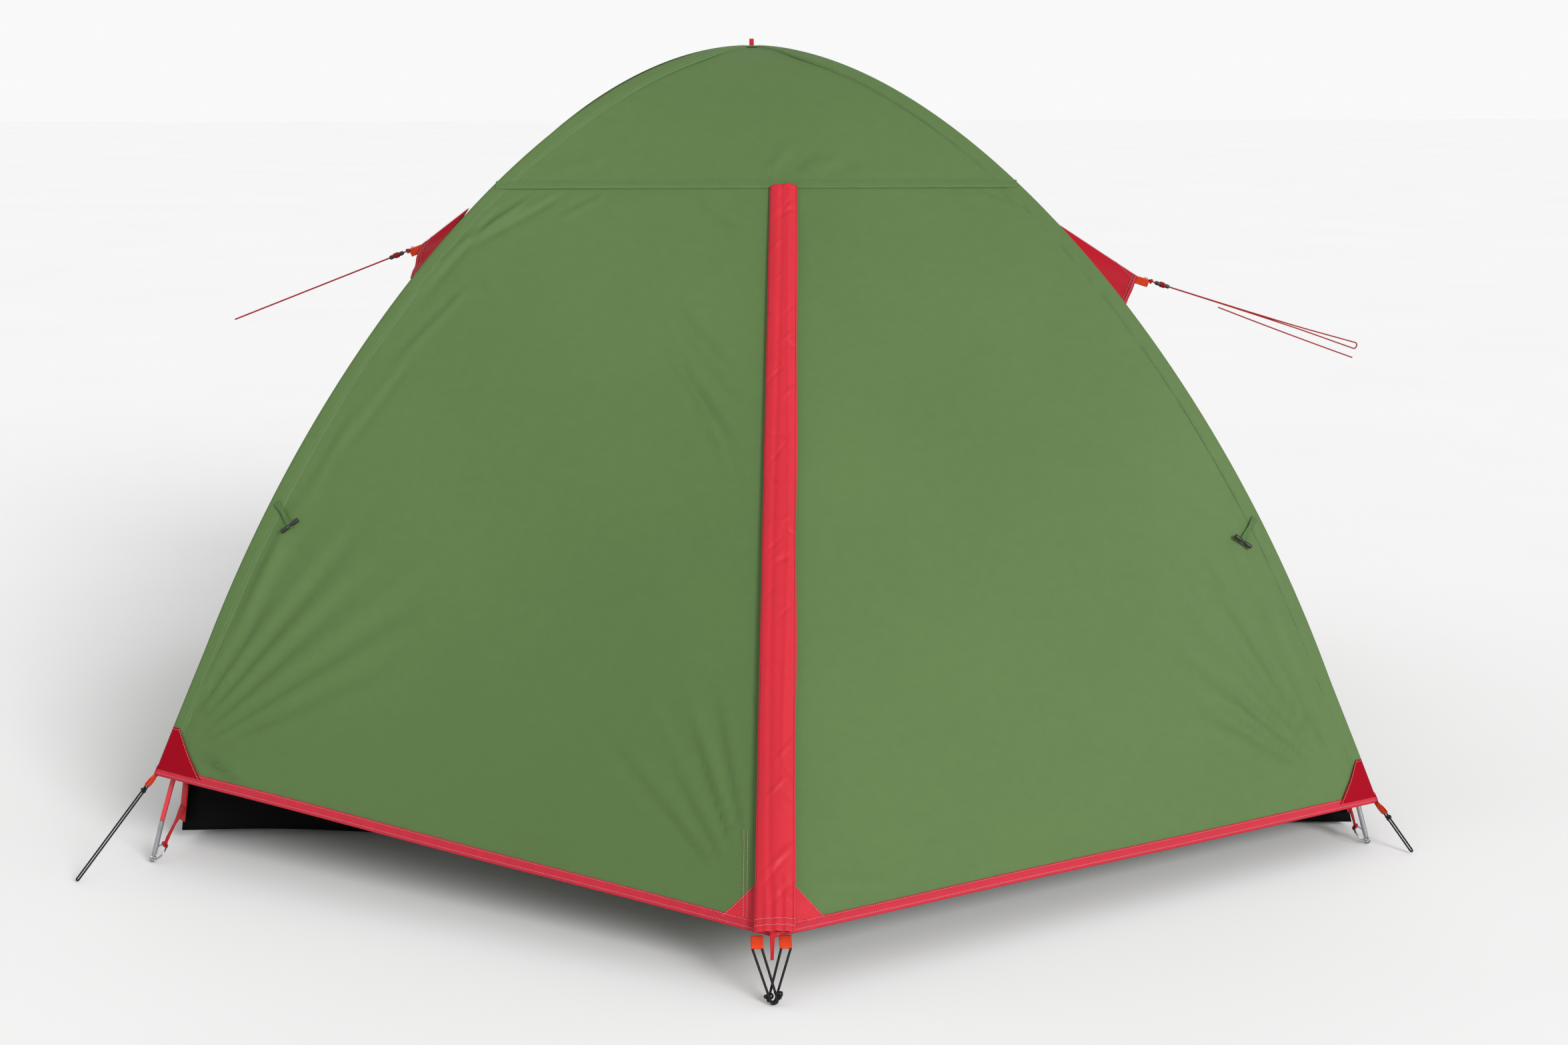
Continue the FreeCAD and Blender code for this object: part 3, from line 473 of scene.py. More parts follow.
def solid_material(name, color, roughness, metallic=0.0, coat=0.0, scratch=0.05, scale=40.0, depth=0.0003,
                   stretch=(1.0, 1.0, 1.0), amount=0.08):
    """Plastic, painted rod or metal: fine grain, uneven gloss and light wear."""
    material, tree, shader = new_material(name, roughness, metallic=metallic, coat=coat)
    place = node(tree, "ShaderNodeTexCoord", -1350, 0)
    drawn = node(tree, "ShaderNodeMapping", -1150, 0)
    drawn.inputs["Scale"].default_value = stretch
    tree.links.new(place.outputs["Object"], drawn.inputs["Vector"])
    colour = colour_noise(tree, drawn.outputs["Vector"], color, scale, amount, y=400)
    tree.links.new(colour, shader.inputs["Base Color"])
    gloss = node(tree, "ShaderNodeMapRange", -400, 0)
    gloss.inputs["To Min"].default_value = max(roughness - scratch, 0.02)
    gloss.inputs["To Max"].default_value = roughness + scratch
    tree.links.new(noise_height(tree, drawn.outputs["Vector"], scale * 3.0, y=-200), gloss.inputs["Value"])
    tree.links.new(gloss.outputs["Result"], shader.inputs["Roughness"])
    bump(tree, shader, noise_height(tree, drawn.outputs["Vector"], scale * 9.0), 0.25, depth)
    return material


GREEN = (0.088, 0.155, 0.050)
RED = (0.53, 0.018, 0.032)
fly_cloth = cloth_material("fly_cloth", GREEN)
strip_cloth = cloth_material("strip_cloth", RED, roughness=0.45, specular=0.22, crinkle=0.5, scale=1.6)
hem_cloth = cloth_material("hem_cloth", (0.47, 0.022, 0.042), roughness=0.6, scale=2.0)
patch_cloth = cloth_material("patch_cloth", (0.285, 0.0010, 0.010), roughness=0.6, specular=0.05, scale=2.0)
hood_cloth = cloth_material("hood_cloth", (0.37, 0.004, 0.015), roughness=0.55, specular=0.08, scale=1.5)
inner_cloth = cloth_material("inner_cloth", (0.60, 0.61, 0.57), roughness=0.75, specular=0.15, mottle=0.02)
floor_cloth = cloth_material("floor_cloth", (0.004, 0.004, 0.0045), roughness=0.7, specular=0.05, mottle=0.12,
                             crinkle=0.6)
tie_cloth = cloth_material("tie_cloth", (0.07, 0.14, 0.045), roughness=0.6, scale=3.0)
orange_webbing = webbing_material("orange_webbing", (0.78, 0.055, 0.012))
red_webbing = webbing_material("red_webbing", (0.55, 0.015, 0.025))
red_cord = cord_material("red_cord", (0.44, 0.005, 0.010), (0.22, 0.003, 0.007))
black_cord = cord_material("black_cord", (0.006, 0.006, 0.007), (0.014, 0.014, 0.016))
rod_red = solid_material("rod_red", (0.52, 0.012, 0.022), 0.28, coat=0.5, scale=30.0)
steel = solid_material("steel", (0.36, 0.37, 0.39), 0.30, metallic=1.0, scale=60.0, stretch=(1.0, 1.0, 0.2),
                       amount=0.14)
black_plastic = solid_material("black_plastic", (0.014, 0.014, 0.015), 0.45, scale=90.0)
thread_pale = solid_material("thread_pale", (0.62, 0.30, 0.31), 0.7, scale=300.0)
thread_green = solid_material("thread_green", (0.20, 0.29, 0.15), 0.7, scale=300.0)
thread_dark = solid_material("thread_dark", (0.20, 0.006, 0.012), 0.7, scale=300.0)
zip_tape = webbing_material("zip_tape", (0.035, 0.06, 0.028), pitch=0.001)
zip_teeth = solid_material("zip_teeth", (0.05, 0.08, 0.04), 0.4, scale=200.0)


def mesh_material(name, color, pitch=0.0022):
    """Mosquito net: threads with open squares between them."""
    material, tree, shader = new_material(name, 0.6, specular=0.2)
    place = node(tree, "ShaderNodeTexCoord", -1150, 0)
    threads = weave(tree, place.outputs["UV"], pitch)
    shader.inputs["Base Color"].default_value = (*color, 1.0)
    edge = node(tree, "ShaderNodeMapRange", -500, -100)
    edge.inputs["From Min"].default_value = 0.80
    edge.inputs["From Max"].default_value = 0.92
    edge.inputs["To Min"].default_value = 0.35
    tree.links.new(threads, edge.inputs["Value"])
    tree.links.new(edge.outputs["Result"], shader.inputs["Alpha"])
    bump(tree, shader, threads, 0.4, 0.0003)
    return material


net = mesh_material("net", (0.03, 0.03, 0.032))

# ---------------------------------------------------------------- cords
def curve_piece(name, points, diameter, material, body, nodes=()):
    """A cord: a smooth spline with these points as its control points."""
    data = bpy.data.curves.new(name, "CURVE")
    data.dimensions = "3D"
    data.bevel_depth = diameter / 2
    data.bevel_resolution = 3
    data.resolution_u = 10
    spline = data.splines.new("NURBS")
    spline.points.add(len(points) - 1)
    for i, p in enumerate(points):
        spline.points[i].co = (*p, 1.0)
    spline.order_u = 3
    spline.use_endpoint_u = True
    obj = bpy.data.objects.new(name, data)
    scene.collection.objects.link(obj)
    data.materials.append(material)
    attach(obj, body)
    if nodes:
        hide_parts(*nodes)
    return obj


TUBE_SIDES = 8


def tube_mesh(points, radius):
    """A round tube of straight runs through points, for knots and wrapped cord."""
    frames = []
    last = None
    for i, p in enumerate(points):
        ahead = (points[min(i + 1, len(points) - 1)] - points[max(i - 1, 0)]).normalized()
        side = last - ahead * last.dot(ahead) if last is not None else ahead.orthogonal()
        side.normalize()
        last = side
        frames.append((side, ahead.cross(side).normalized()))
    angles = [2 * math.pi * k / TUBE_SIDES for k in range(TUBE_SIDES)]
    return sweep(points, frames, [(radius * math.cos(a), radius * math.sin(a)) for a in angles])


def knot(name, centre, size, radius, material, body, tilt=0.0):
    """A small overhand knot."""
    points = []
    for k in range(49):
        a = 2 * math.pi * k / 48 * 0.985
        x = math.sin(a) + 2 * math.sin(2 * a)
        y = math.cos(a) - 2 * math.cos(2 * a)
        z = -math.sin(3 * a)
        p = Vector((x / 3, z * 0.42, y / 3)) * size
        points.append(centre + Vector((p.x * math.cos(tilt) - p.y * math.sin(tilt),
                                       p.x * math.sin(tilt) + p.y * math.cos(tilt), p.z)))
    verts, faces = tube_mesh(points, radius)
    return piece(name, verts, faces, material, body=body)


GUY_D, ELASTIC_D, PEG_D = 0.0026, 0.003, 0.0038
TAB_LENGTH, RUNNER_PLACE, RUNNER = 0.026, 0.055, (0.028, 0.016, 0.008)
HOOD_TIP = {-1: Vector((-0.640, 0, 0.980)), 1: Vector((0.758, 0, 0.912))}
GUY_END = {-1: Vector((-1.008, 0, 0.837)), 1: Vector((1.206, 0, 0.771))}
ACROSS = Vector((0, 0.004, 0))
for side in (-1, 1):
    run = (GUY_END[side] - HOOD_TIP[side]).normalized()
    start, end = HOOD_TIP[side] + run * (TAB_LENGTH + 0.0055), GUY_END[side]
    back = HOOD_TIP[side] + run * (RUNNER_PLACE - RUNNER[0] / 2 - 0.006)
    spread = ACROSS if side < 0 else run.cross(Vector((0, 1, 0))).normalized() * 0.006
    parting = between(start, end, 0.62)   # from here on the two strands spread
    line = curve_piece("guy_cord_" + WORD[side],
                       [start - ACROSS, parting - ACROSS, end - run * 0.010 - spread, end - spread,
                        end + spread, end - run * 0.010 + spread, parting + ACROSS, back + ACROSS],
                       GUY_D, red_cord, "tent", ["guy_line_" + WORD[side]])
    tied = knot("guy_knot_" + WORD[side], start - ACROSS * 0.6 - run * 0.001, 0.0042, 0.0012,
                red_cord, "tent")
right_run = (GUY_END[1] - HOOD_TIP[1]).normalized()
right_down = facing(right_run.cross(Vector((0, 1, 0))).normalized(), Vector((0, 0, -1)))
tail_start = HOOD_TIP[1] + right_run * (RUNNER_PLACE + RUNNER[0] / 2 + 0.108) + right_down * 0.009
tail_end = GUY_END[1] + right_down * 0.024
tail = curve_piece("guy_cord_tail",
                   [tail_start, between(tail_start, tail_end, 0.5) + right_down * 0.002, tail_end],
                   GUY_D, red_cord, "tent", ["guy_tail_right"])

PEG = {-1: Vector((-1.154, -0.839, 0.004)), 1: Vector((1.112, -0.800, 0.004))}
TAB_OUT = {side: Vector((side * 0.62, -0.28, -0.73)).normalized() for side in (-1, 1)}
CORNER = {side: ridge(HEM[side], side, -1, FLY) for side in (-1, 1)}
for side in (-1, 1):
    start = CORNER[side] + TAB_OUT[side] * 0.0235 + Vector((-side * 0.0015, 0.001, 0))
    run = (PEG[side] - start).normalized()
    across = run.cross(Vector((0, 1, 0.35))).normalized() * 0.0020
    elastic = curve_piece("elastic_" + WORD[side],
                          [start - across, PEG[side] - run * 0.007 - across, PEG[side] - across,
                           PEG[side] + across, PEG[side] - run * 0.007 + across, start + across],
                          ELASTIC_D, black_cord, "tent", ["corner_elastic_" + WORD[side]])
    crimp = knot("elastic_knot_" + WORD[side], start + run * 0.010, 0.0045, 0.0014, black_cord, "tent")

LUMP_SHIFT = {-1: Vector((0.005, 0, 0.013)), 1: Vector((-0.004, 0, 0.007))}
for side, depth, foot in ((-1, -0.005, -0.001), (1, 0.0025, -0.006)):
    centre = front_point(side, 0.0, 1.0) + Vector((TAB_PLACE[side], 0, 0))
    top = centre + Vector((0, -0.0225, -0.0092))
    low = Vector((ZIP_FOOT.x + foot, top.y - 0.020 + depth, PEG_D / 2 + 0.002))
    run = (low - top).normalized()
    half_top = Vector((0.007, 0, 0))
    half_low = (Vector((1, 0, 0)) - run * run.x).normalized() * 0.005
    near_left = between(low - half_low, top - half_top, 0.12)
    near_right = between(low + half_low, top + half_top, 0.12)
    body = "leaf_front_" + WORD[side]
    loop = curve_piece("peg_cord_" + WORD[side],
                       [top - half_top, near_left, low - half_low,
                        low + half_low, near_right, top + half_top],
                       PEG_D, black_cord, body, ["peg_loop_" + WORD[side]])
    lump = knot("peg_knot_" + WORD[side], low + LUMP_SHIFT[side], 0.0062, 0.0018, black_cord, body,
                tilt=0.4 * side)


# ---------------------------------------------------------------- how each cloth is creased
FOLD_GAIN = 1.45


def folds_of(lines):
    """Folds from (x, z, x, z, width at the start, width at the end, height in millimetres)."""
    return [(a, b, c, d, w, v, FOLD_GAIN * h / 1000) for a, b, c, d, w, v, h in lines]


def fan(seed, origin, low, high, count, reach, height, start=0.03):
    """Folds that spread from one point, between two directions in degrees."""
    pick = random.Random(seed)
    made = []
    for k in range(count):
        angle = math.radians(low + (high - low) * (k + 0.2 + 0.6 * pick.random()) / count)
        far = reach * (0.55 + 0.45 * pick.random())
        sign = 1 if k % 2 else -1
        made.append((origin[0] + start * math.cos(angle), origin[1] + start * math.sin(angle),
                     origin[0] + far * math.cos(angle), origin[1] + far * math.sin(angle),
                     0.003, 0.004 + 0.022 * far, sign * height * (0.5 + 0.5 * pick.random())))
    return folds_of(made)


def fold_heights(x, z, folds):
    """Height of all the folds over arrays of places."""
    total = np.zeros_like(x)
    for x0, z0, x1, z1, w0, w1, height in folds:
        dx, dz = x1 - x0, z1 - z0
        size = math.hypot(dx, dz)
        along = ((x - x0) * dx + (z - z0) * dz) / size ** 2
        off = ((x - x0) * dz - (z - z0) * dx) / size
        width = w0 + (w1 - w0) * np.clip(along, 0, 1)
        rise = np.clip((along + 0.02) / 0.22, 0, 1)
        fall = np.clip((1.02 - along) / 0.45, 0, 1)
        taper = rise * rise * (3 - 2 * rise) * fall * fall * (3 - 2 * fall)
        shape = np.exp(-(off / width) ** 2) - 0.55 * np.exp(-((off - 1.7 * width) / (1.2 * width)) ** 2)
        total += height * taper * shape
    return total


LEFT_FOLDS = (
    fan(3, (-1.03, 0.16), 26, 70, 12, 0.66, 2.7, start=0.06)
    + fan(5, (-0.03, 0.095), 100, 150, 8, 0.36, 3.0, start=0.08)
    + folds_of([(-0.955, 0.205, -0.74, 0.105, 0.005, 0.008, 8.0),
                (-0.96, 0.19, -0.78, 0.16, 0.008, 0.014, 3.0),
                (-0.95, 0.215, -0.76, 0.26, 0.006, 0.012, 2.6),
                (-0.14, 0.92, -0.015, 0.80, 0.006, 0.005, 2.4),
                (-0.16, 0.90, -0.02, 0.74, 0.005, 0.006, -2.4),
                (-0.14, 0.84, -0.02, 0.69, 0.005, 0.006, 2.6), (-0.17, 0.86, -0.05, 0.69, 0.004, 0.004, 1.6),
                (-0.12, 0.81, -0.03, 0.64, 0.004, 0.006, -2.0), (-0.10, 0.74, -0.02, 0.65, 0.004, 0.004, 1.8),
                (-0.11, 1.10, -0.01, 1.01, 0.005, 0.005, 2.0), (-0.07, 1.07, -0.01, 1.03, 0.004, 0.004, -1.4),
                (-0.40, 1.10, -0.58, 0.98, 0.004, 0.009, 2.6),
                (-0.34, 1.105, -0.54, 1.00, 0.004, 0.008, -2.2),
                (-0.27, 1.10, -0.36, 1.06, 0.004, 0.006, 1.6), (-0.46, 1.08, -0.62, 0.90, 0.005, 0.009, -2.2),
                (-0.51, 0.95, -0.66, 0.80, 0.005, 0.008, 1.8), (-0.60, 0.84, -0.74, 0.66, 0.005, 0.008, -1.6),
                (-0.70, 0.75, -0.80, 0.58, 0.005, 0.008, 1.5), (-0.80, 0.60, -0.94, 0.28, 0.006, 0.006, 2.4),
                (-0.07, 0.56, -0.015, 0.50, 0.003, 0.004, 1.2),
                (-0.06, 0.40, -0.01, 0.34, 0.003, 0.004, -1.2)]))
RIGHT_FOLDS = (
    fan(8, (1.00, 0.10), 112, 152, 10, 0.52, 3.0, start=0.08)
    + folds_of([(0.98, 0.14, 0.72, 0.51, 0.006, 0.012, 4.0), (0.95, 0.17, 0.78, 0.45, 0.005, 0.010, -3.0),
                (0.80, 0.43, 0.74, 0.51, 0.004, 0.006, 2.6), (0.68, 0.53, 0.80, 0.33, 0.004, 0.008, 1.5),
                (0.77, 0.33, 0.85, 0.22, 0.004, 0.006, -1.6), (0.82, 0.20, 0.90, 0.12, 0.003, 0.005, 1.8),
                (0.84, 0.26, 0.92, 0.20, 0.003, 0.004, 1.5), (0.80, 0.24, 0.86, 0.17, 0.003, 0.004, -1.4),
                (0.88, 0.115, 0.97, 0.115, 0.003, 0.004, 1.4), (0.78, 0.19, 0.85, 0.20, 0.003, 0.004, 1.2),
                (0.34, 1.11, 0.40, 1.085, 0.004, 0.005, 2.0), (0.40, 1.11, 0.46, 1.085, 0.004, 0.005, -2.0),
                (0.25, 1.112, 0.32, 1.09, 0.004, 0.005, 1.4), (0.44, 1.105, 0.52, 1.06, 0.004, 0.006, 1.8),
                (0.07, 0.62, 0.12, 0.59, 0.003, 0.004, 1.0), (0.07, 0.50, 0.10, 0.40, 0.003, 0.004, 1.0),
                (0.80, 0.62, 0.86, 0.40, 0.005, 0.007, 1.6), (0.05, 0.14, 0.20, 0.115, 0.004, 0.006, 1.4)]))
FOLDS = {-1: LEFT_FOLDS, 1: RIGHT_FOLDS}
FRONT_SAG = 0.006


def eased(values, low, high):
    t = np.clip((values - low) / (high - low), 0, 1)
    return t * t * (3 - 2 * t)


def front_places(side, ts, vs, rises=0.0):
    """Points and outward normals of the creased front cloth at arrays of t and v."""
    ts, vs = np.asarray(ts, float), np.asarray(vs, float)
    rises = np.broadcast_to(rises, ts.shape)
    base = np.array([front_point(side, t, v) for t, v in zip(ts, vs)])
    normal = np.array([front_normal(side, t, v) for t, v in zip(ts, vs)])
    width = np.array([(front_point(side, t, 0.0) - front_point(side, t, 1.0)).length for t in ts])
    x, z = base[:, 0], base[:, 2]
    quiet = (eased(vs * width, 0.010, 0.045) * eased((1 - vs) * width, 0.012, 0.035)
             * eased(ts, 0.012, 0.035) * eased(1 - ts, 0.004, 0.016))
    swell = -FRONT_SAG * np.sin(np.pi * np.clip(vs, 0, 1)) * np.sin(np.pi * np.clip(ts, 0, 1))
    broad = 0.0016 * np.sin(7.0 * x + 1.3) * np.sin(5.3 * z + 0.4) + 0.0008 * np.sin(19.0 * x + 11.0 * z)
    height = swell + quiet * (fold_heights(x, z, FOLDS[side]) + broad) + rises
    placed = base + normal * height[:, None]
    return [Vector(p) for p in placed], [Vector(n) for n in normal]


def width_at(side, t):
    return (front_point(side, t, 0.0) - front_point(side, t, 1.0)).length


def near_zip(side, t, distance):
    return 1.0 - distance / width_at(side, t)


def near_pole(side, t, distance):
    return distance / width_at(side, t)


def up_hem(side, v, distance):
    return distance / ((front_point(side, 0.05, v) - front_point(side, 0.0, v)).length / 0.05)


# ---------------------------------------------------------------- the fold line of a door leaf
GUSSET_SHARE = 0.11


def fold_band(side):
    """Two points a little inwards from the crown of the leaf's fold line."""
    edge = [front_point(side, i / 40, GUSSET_SHARE) for i in range(41)]
    along = (edge[-1] - edge[0]).normalized()
    crown = max(edge, key=lambda p: ((p - edge[0]) - along * (p - edge[0]).dot(along)).length)
    towards = front_point(side, 0.5, 0.6) - crown
    inward = (towards - along * towards.dot(along)).normalized()
    return crown + inward * 0.002, crown + inward * 0.050


def bends(obj, side, rear=False):
    """Cloth that crosses a leaf's fold line, in front or turned to the rear, with its transform baked in; it
    is not bent, and the fold line found here is not used.
    """
    start, end = fold_band(side)
    if rear:
        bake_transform(obj)
    else:
        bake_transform(obj)
    return obj


def both_bends(name, side, shape, material, nodes=((), ()), slot=None):
    """The same piece at the front and at the rear, on no body and not bent, with the nodes of the one and of
    the other.
    """
    made = []
    for rear, tag, word in ends_of(side):
        obj = part("%s_%s_%s" % (name, tag, word), shape, rear, material, body=None, nodes=nodes[rear],
                   slot=slot)
        made.append(bends(obj, side, rear))
    return made


REAR_OF = {"leaf_front_left": "leaf_rear_right", "flap_front": "flap_rear", "slider_front": "slider_rear",
           "toggle_fl": "toggle_rr", "toggle_fr": "toggle_rl"}


def both(name, parts, material, body, nodes=((), ()), slot=None):
    """Gathered parts at the front, and the same turned to the rear."""
    for rear, tag in ENDS:
        part(name + "_" + tag, parts, rear, material, body=REAR_OF[body] if rear else body, nodes=nodes[rear],
             slot=slot)


# ---------------------------------------------------------------- front door panels
ROWS, COLUMNS = 150, 120


for side in (-1, 1):
    ts = even(0.0, 0.9985, ROWS)
    vs = even(0.0, 0.9995, COLUMNS)
    points, _ = front_places(side, [t for t in ts for _ in vs], [v for _ in ts for v in vs])
    rows = [points[i * len(vs):(i + 1) * len(vs)] for i in range(len(ts))]
    if side > 0:
        rows = [row[::-1] for row in rows]
    front_nodes = ["door_front_" + WORD[side]] + (["fly_gussets"] if side < 0 else [])
    panels = both_bends("fly_panel", side, rows, fly_cloth, (front_nodes, ["door_rear_" + WORD[-side]]),
                        "fly_cloth")

# ---------------------------------------------------------------- roof and side walls
ROOF_FOLDS = folds_of([(0.02, 1.135, 0.07, 1.20, 0.006, 0.010, 2.2),
                       (0.05, 1.13, 0.12, 1.19, 0.006, 0.010, -2.0),
                       (0.08, 1.13, 0.17, 1.175, 0.006, 0.010, 2.2),
                       (0.12, 1.13, 0.20, 1.16, 0.005, 0.009, -1.6),
                       (0.14, 1.15, 0.28, 1.13, 0.006, 0.009, 1.6),
                       (-0.40, 1.13, -0.25, 1.17, 0.006, 0.010, 1.2),
                       (0.46, 1.13, 0.36, 1.19, 0.006, 0.010, 1.2),
                       (-0.30, 1.12, -0.29, 1.17, 0.006, 0.008, 0.8)])


def grid_normals(array):
    along = np.gradient(array, axis=1)
    up = np.gradient(array, axis=0)
    normal = np.cross(along, up)
    return normal / np.maximum(np.linalg.norm(normal, axis=2), 1e-12)[:, :, None]


def as_rows(array):
    return [[Vector(p) for p in row] for row in array]


def roof_rows():
    shares = even(SEAM, 1.0, 60, 0.9)
    columns = even(0.0, 1.0, 110)
    base = np.array([[list(between(ridge(u, -1, -1, FLY), ridge(u, 1, -1, FLY), c)) for c in columns]
                     for u in shares[:-1]]
                    + [[[0.004 * (c - 0.5), -0.002, ridge(1.0, -1, -1, FLY).z] for c in columns]])
    normal = grid_normals(base)
    normal[-1] = (0, 0, 1)
    c = np.array(columns)[None, :]
    r = np.array([(u - SEAM) / (1 - SEAM) for u in shares])[:, None]
    x, z = base[:, :, 0], base[:, :, 2]
    quiet = (eased(np.minimum(c, 1 - c) * (1 - r) * 1.05, 0.01, 0.05) * eased(r, 0.03, 0.10)
             * eased(1 - r, 0.0, 0.12))
    sag = -0.010 * np.sin(np.pi * c) * np.sin(np.pi * np.clip(r, 0, 1)) * np.ones_like(x)
    height = sag + quiet * (fold_heights(x, z, ROOF_FOLDS) + 0.0010 * np.sin(9 * x + 1) * np.sin(21 * z))
    return base + normal * height[:, :, None]


ROOF = roof_rows()
for rear, tag in ENDS:
    roof = part("roof_" + tag, as_rows(ROOF), rear, fly_cloth, nodes=["fly_roof_" + tag], slot="fly_cloth")

VENT_LOW, VENT_HIGH, VENT_HALF = 0.920, 0.985, 0.070
SIDE_FOLDS = (
    [(-0.60, 0.24, 0.10, 0.42, 0.006, 0.016, 0.0030), (-0.58, 0.26, -0.10, 0.60, 0.006, 0.018, -0.0030),
     (-0.56, 0.28, -0.22, 0.74, 0.006, 0.016, 0.0030), (-0.54, 0.32, -0.30, 0.80, 0.006, 0.014, -0.0024),
     (-0.60, 0.22, -0.15, 0.27, 0.006, 0.014, -0.0026), (0.62, 0.15, 0.10, 0.34, 0.006, 0.016, 0.0030),
     (0.60, 0.18, 0.18, 0.52, 0.006, 0.018, -0.0030), (0.58, 0.20, 0.26, 0.68, 0.006, 0.016, 0.0030),
     (0.56, 0.24, 0.34, 0.76, 0.006, 0.014, -0.0024), (0.62, 0.13, 0.16, 0.17, 0.006, 0.014, -0.0026)]
    + [(0.17, 0.90, 0.30, 0.72, 0.005, 0.012, 0.0026), (0.17, 0.90, 0.22, 0.66, 0.005, 0.012, -0.0024),
       (-0.17, 0.90, -0.30, 0.74, 0.005, 0.012, 0.0026), (-0.17, 0.90, -0.23, 0.68, 0.005, 0.012, -0.0024),
       (0.10, 0.90, 0.12, 0.64, 0.005, 0.012, 0.0016), (-0.10, 0.90, -0.12, 0.66, 0.005, 0.012, 0.0016)])


def side_spot(share, c, offset=FLY):
    """Point of the left side wall: share of its height, c from the front seam to the rear seam."""
    front = HEM[-1] + (CROWN - HEM[-1]) * share
    rear = HEM[1] + (CROWN - HEM[1]) * share
    return between(ridge(front, -1, -1, offset), ridge(rear, -1, 1, offset), c)


VENT_S = [(share_at_height(h, FLY) - HEM[-1]) / (CROWN - HEM[-1]) for h in (VENT_LOW, VENT_HIGH)]
VENT_C = 0.5 - VENT_HALF / (2 * abs(ridge(share_at_height(VENT_LOW, FLY), -1, -1, FLY).y))
LOW_ROWS, VENT_ROWS, HIGH_ROWS = 78, 12, 34
EDGE_COLUMNS, VENT_COLUMNS = 46, 18
side_shares = (even(0.0, VENT_S[0], LOW_ROWS) + even(VENT_S[0], VENT_S[1], VENT_ROWS)[1:]
               + even(VENT_S[1], 1.0, HIGH_ROWS)[1:])
side_columns = (even(0.0, VENT_C, EDGE_COLUMNS) + even(VENT_C, 1 - VENT_C, VENT_COLUMNS)[1:]
                + even(1 - VENT_C, 1.0, EDGE_COLUMNS)[1:])
base = np.array([[list(side_spot(s, c)) for c in side_columns] for s in side_shares])
side_normal = -grid_normals(base)
c = np.array(side_columns)[None, :]
s = np.array(side_shares)[:, None]
wide = np.linalg.norm(base[:, -1] - base[:, 0], axis=1)[:, None]
quiet = eased(np.minimum(c, 1 - c) * wide, 0.01, 0.05) * eased(s, 0.012, 0.04) * eased(1 - s, 0.0, 0.1)
around_vent = 1 - ((c > VENT_C - 0.04) & (c < 1.04 - VENT_C)
                   & (s > VENT_S[0] - 0.03) & (s < VENT_S[1] + 0.03))
sag = -0.012 * np.sin(np.pi * c) * np.sin(np.pi * s) * (1 - np.exp(-((s - 0.56) / 0.12) ** 2) * 0.7)
height = sag + quiet * around_vent * (fold_heights(base[:, :, 1], base[:, :, 2], SIDE_FOLDS)
                                      + 0.0012 * np.sin(8 * base[:, :, 1]) * np.sin(7 * base[:, :, 2] + 1))
side_wall = base + side_normal * height[:, :, None]
left_side = [row[::-1] for row in as_rows(side_wall)]
opening = {(i, len(side_columns) - 2 - j) for i in range(LOW_ROWS, LOW_ROWS + VENT_ROWS)
           for j in range(EDGE_COLUMNS, EDGE_COLUMNS + VENT_COLUMNS)}
for rear, word in HALVES:
    wall = part("side_wall_" + word, left_side, rear, fly_cloth, left_out=opening, nodes=["fly_side_" + word],
                slot="fly_cloth")

net_rows = [[side_spot(sh, cc, FLY - 0.003) for cc in even(1 - VENT_C + 0.006, VENT_C - 0.006, 20)]
            for sh in even(VENT_S[0] - 0.004, VENT_S[1] + 0.004, 12)]
vent_frame = Gather()
vent_stitches = Gather()
corners = [(VENT_S[0], VENT_C), (VENT_S[0], 1 - VENT_C), (VENT_S[1], 1 - VENT_C), (VENT_S[1], VENT_C)]
out = Vector(side_normal[LOW_ROWS + VENT_ROWS // 2][EDGE_COLUMNS + VENT_COLUMNS // 2])
vent_middle = side_spot((VENT_S[0] + VENT_S[1]) / 2, 0.5)
for (s0, c0), (s1, c1) in zip(corners, corners[1:] + corners[:1]):
    ends = [side_spot(s0, c0), side_spot(s1, c1)]
    along = (ends[1] - ends[0]).normalized()
    inward = facing(out.cross(along).normalized(), vent_middle - ends[0])
    centres = [between(ends[0] - along * 0.007, ends[1] + along * 0.007, k / 12) for k in range(13)]
    profile = [(-0.007, 0.0), (-0.0065, 0.0013), (0.0, 0.0018), (0.006, 0.0013), (0.0065, -0.001),
               (0.0, -0.0012)]
    vent_frame.add(*sweep(centres, [(inward, out)] * 13, profile))
    stitch_row(vent_stitches, [p - inward * 0.004 + out * 0.0016 for p in centres], [out] * 13)
for rear, word in HALVES:
    vent = part("vent_net_" + word, net_rows, rear, net,
                nodes=["vent_meshes"] if not rear else [], slot="mesh")
    part("vent_binding_" + word, vent_frame, rear, fly_cloth, slot="fly_cloth")
    part("vent_stitches_" + word, vent_stitches, rear, thread_green)


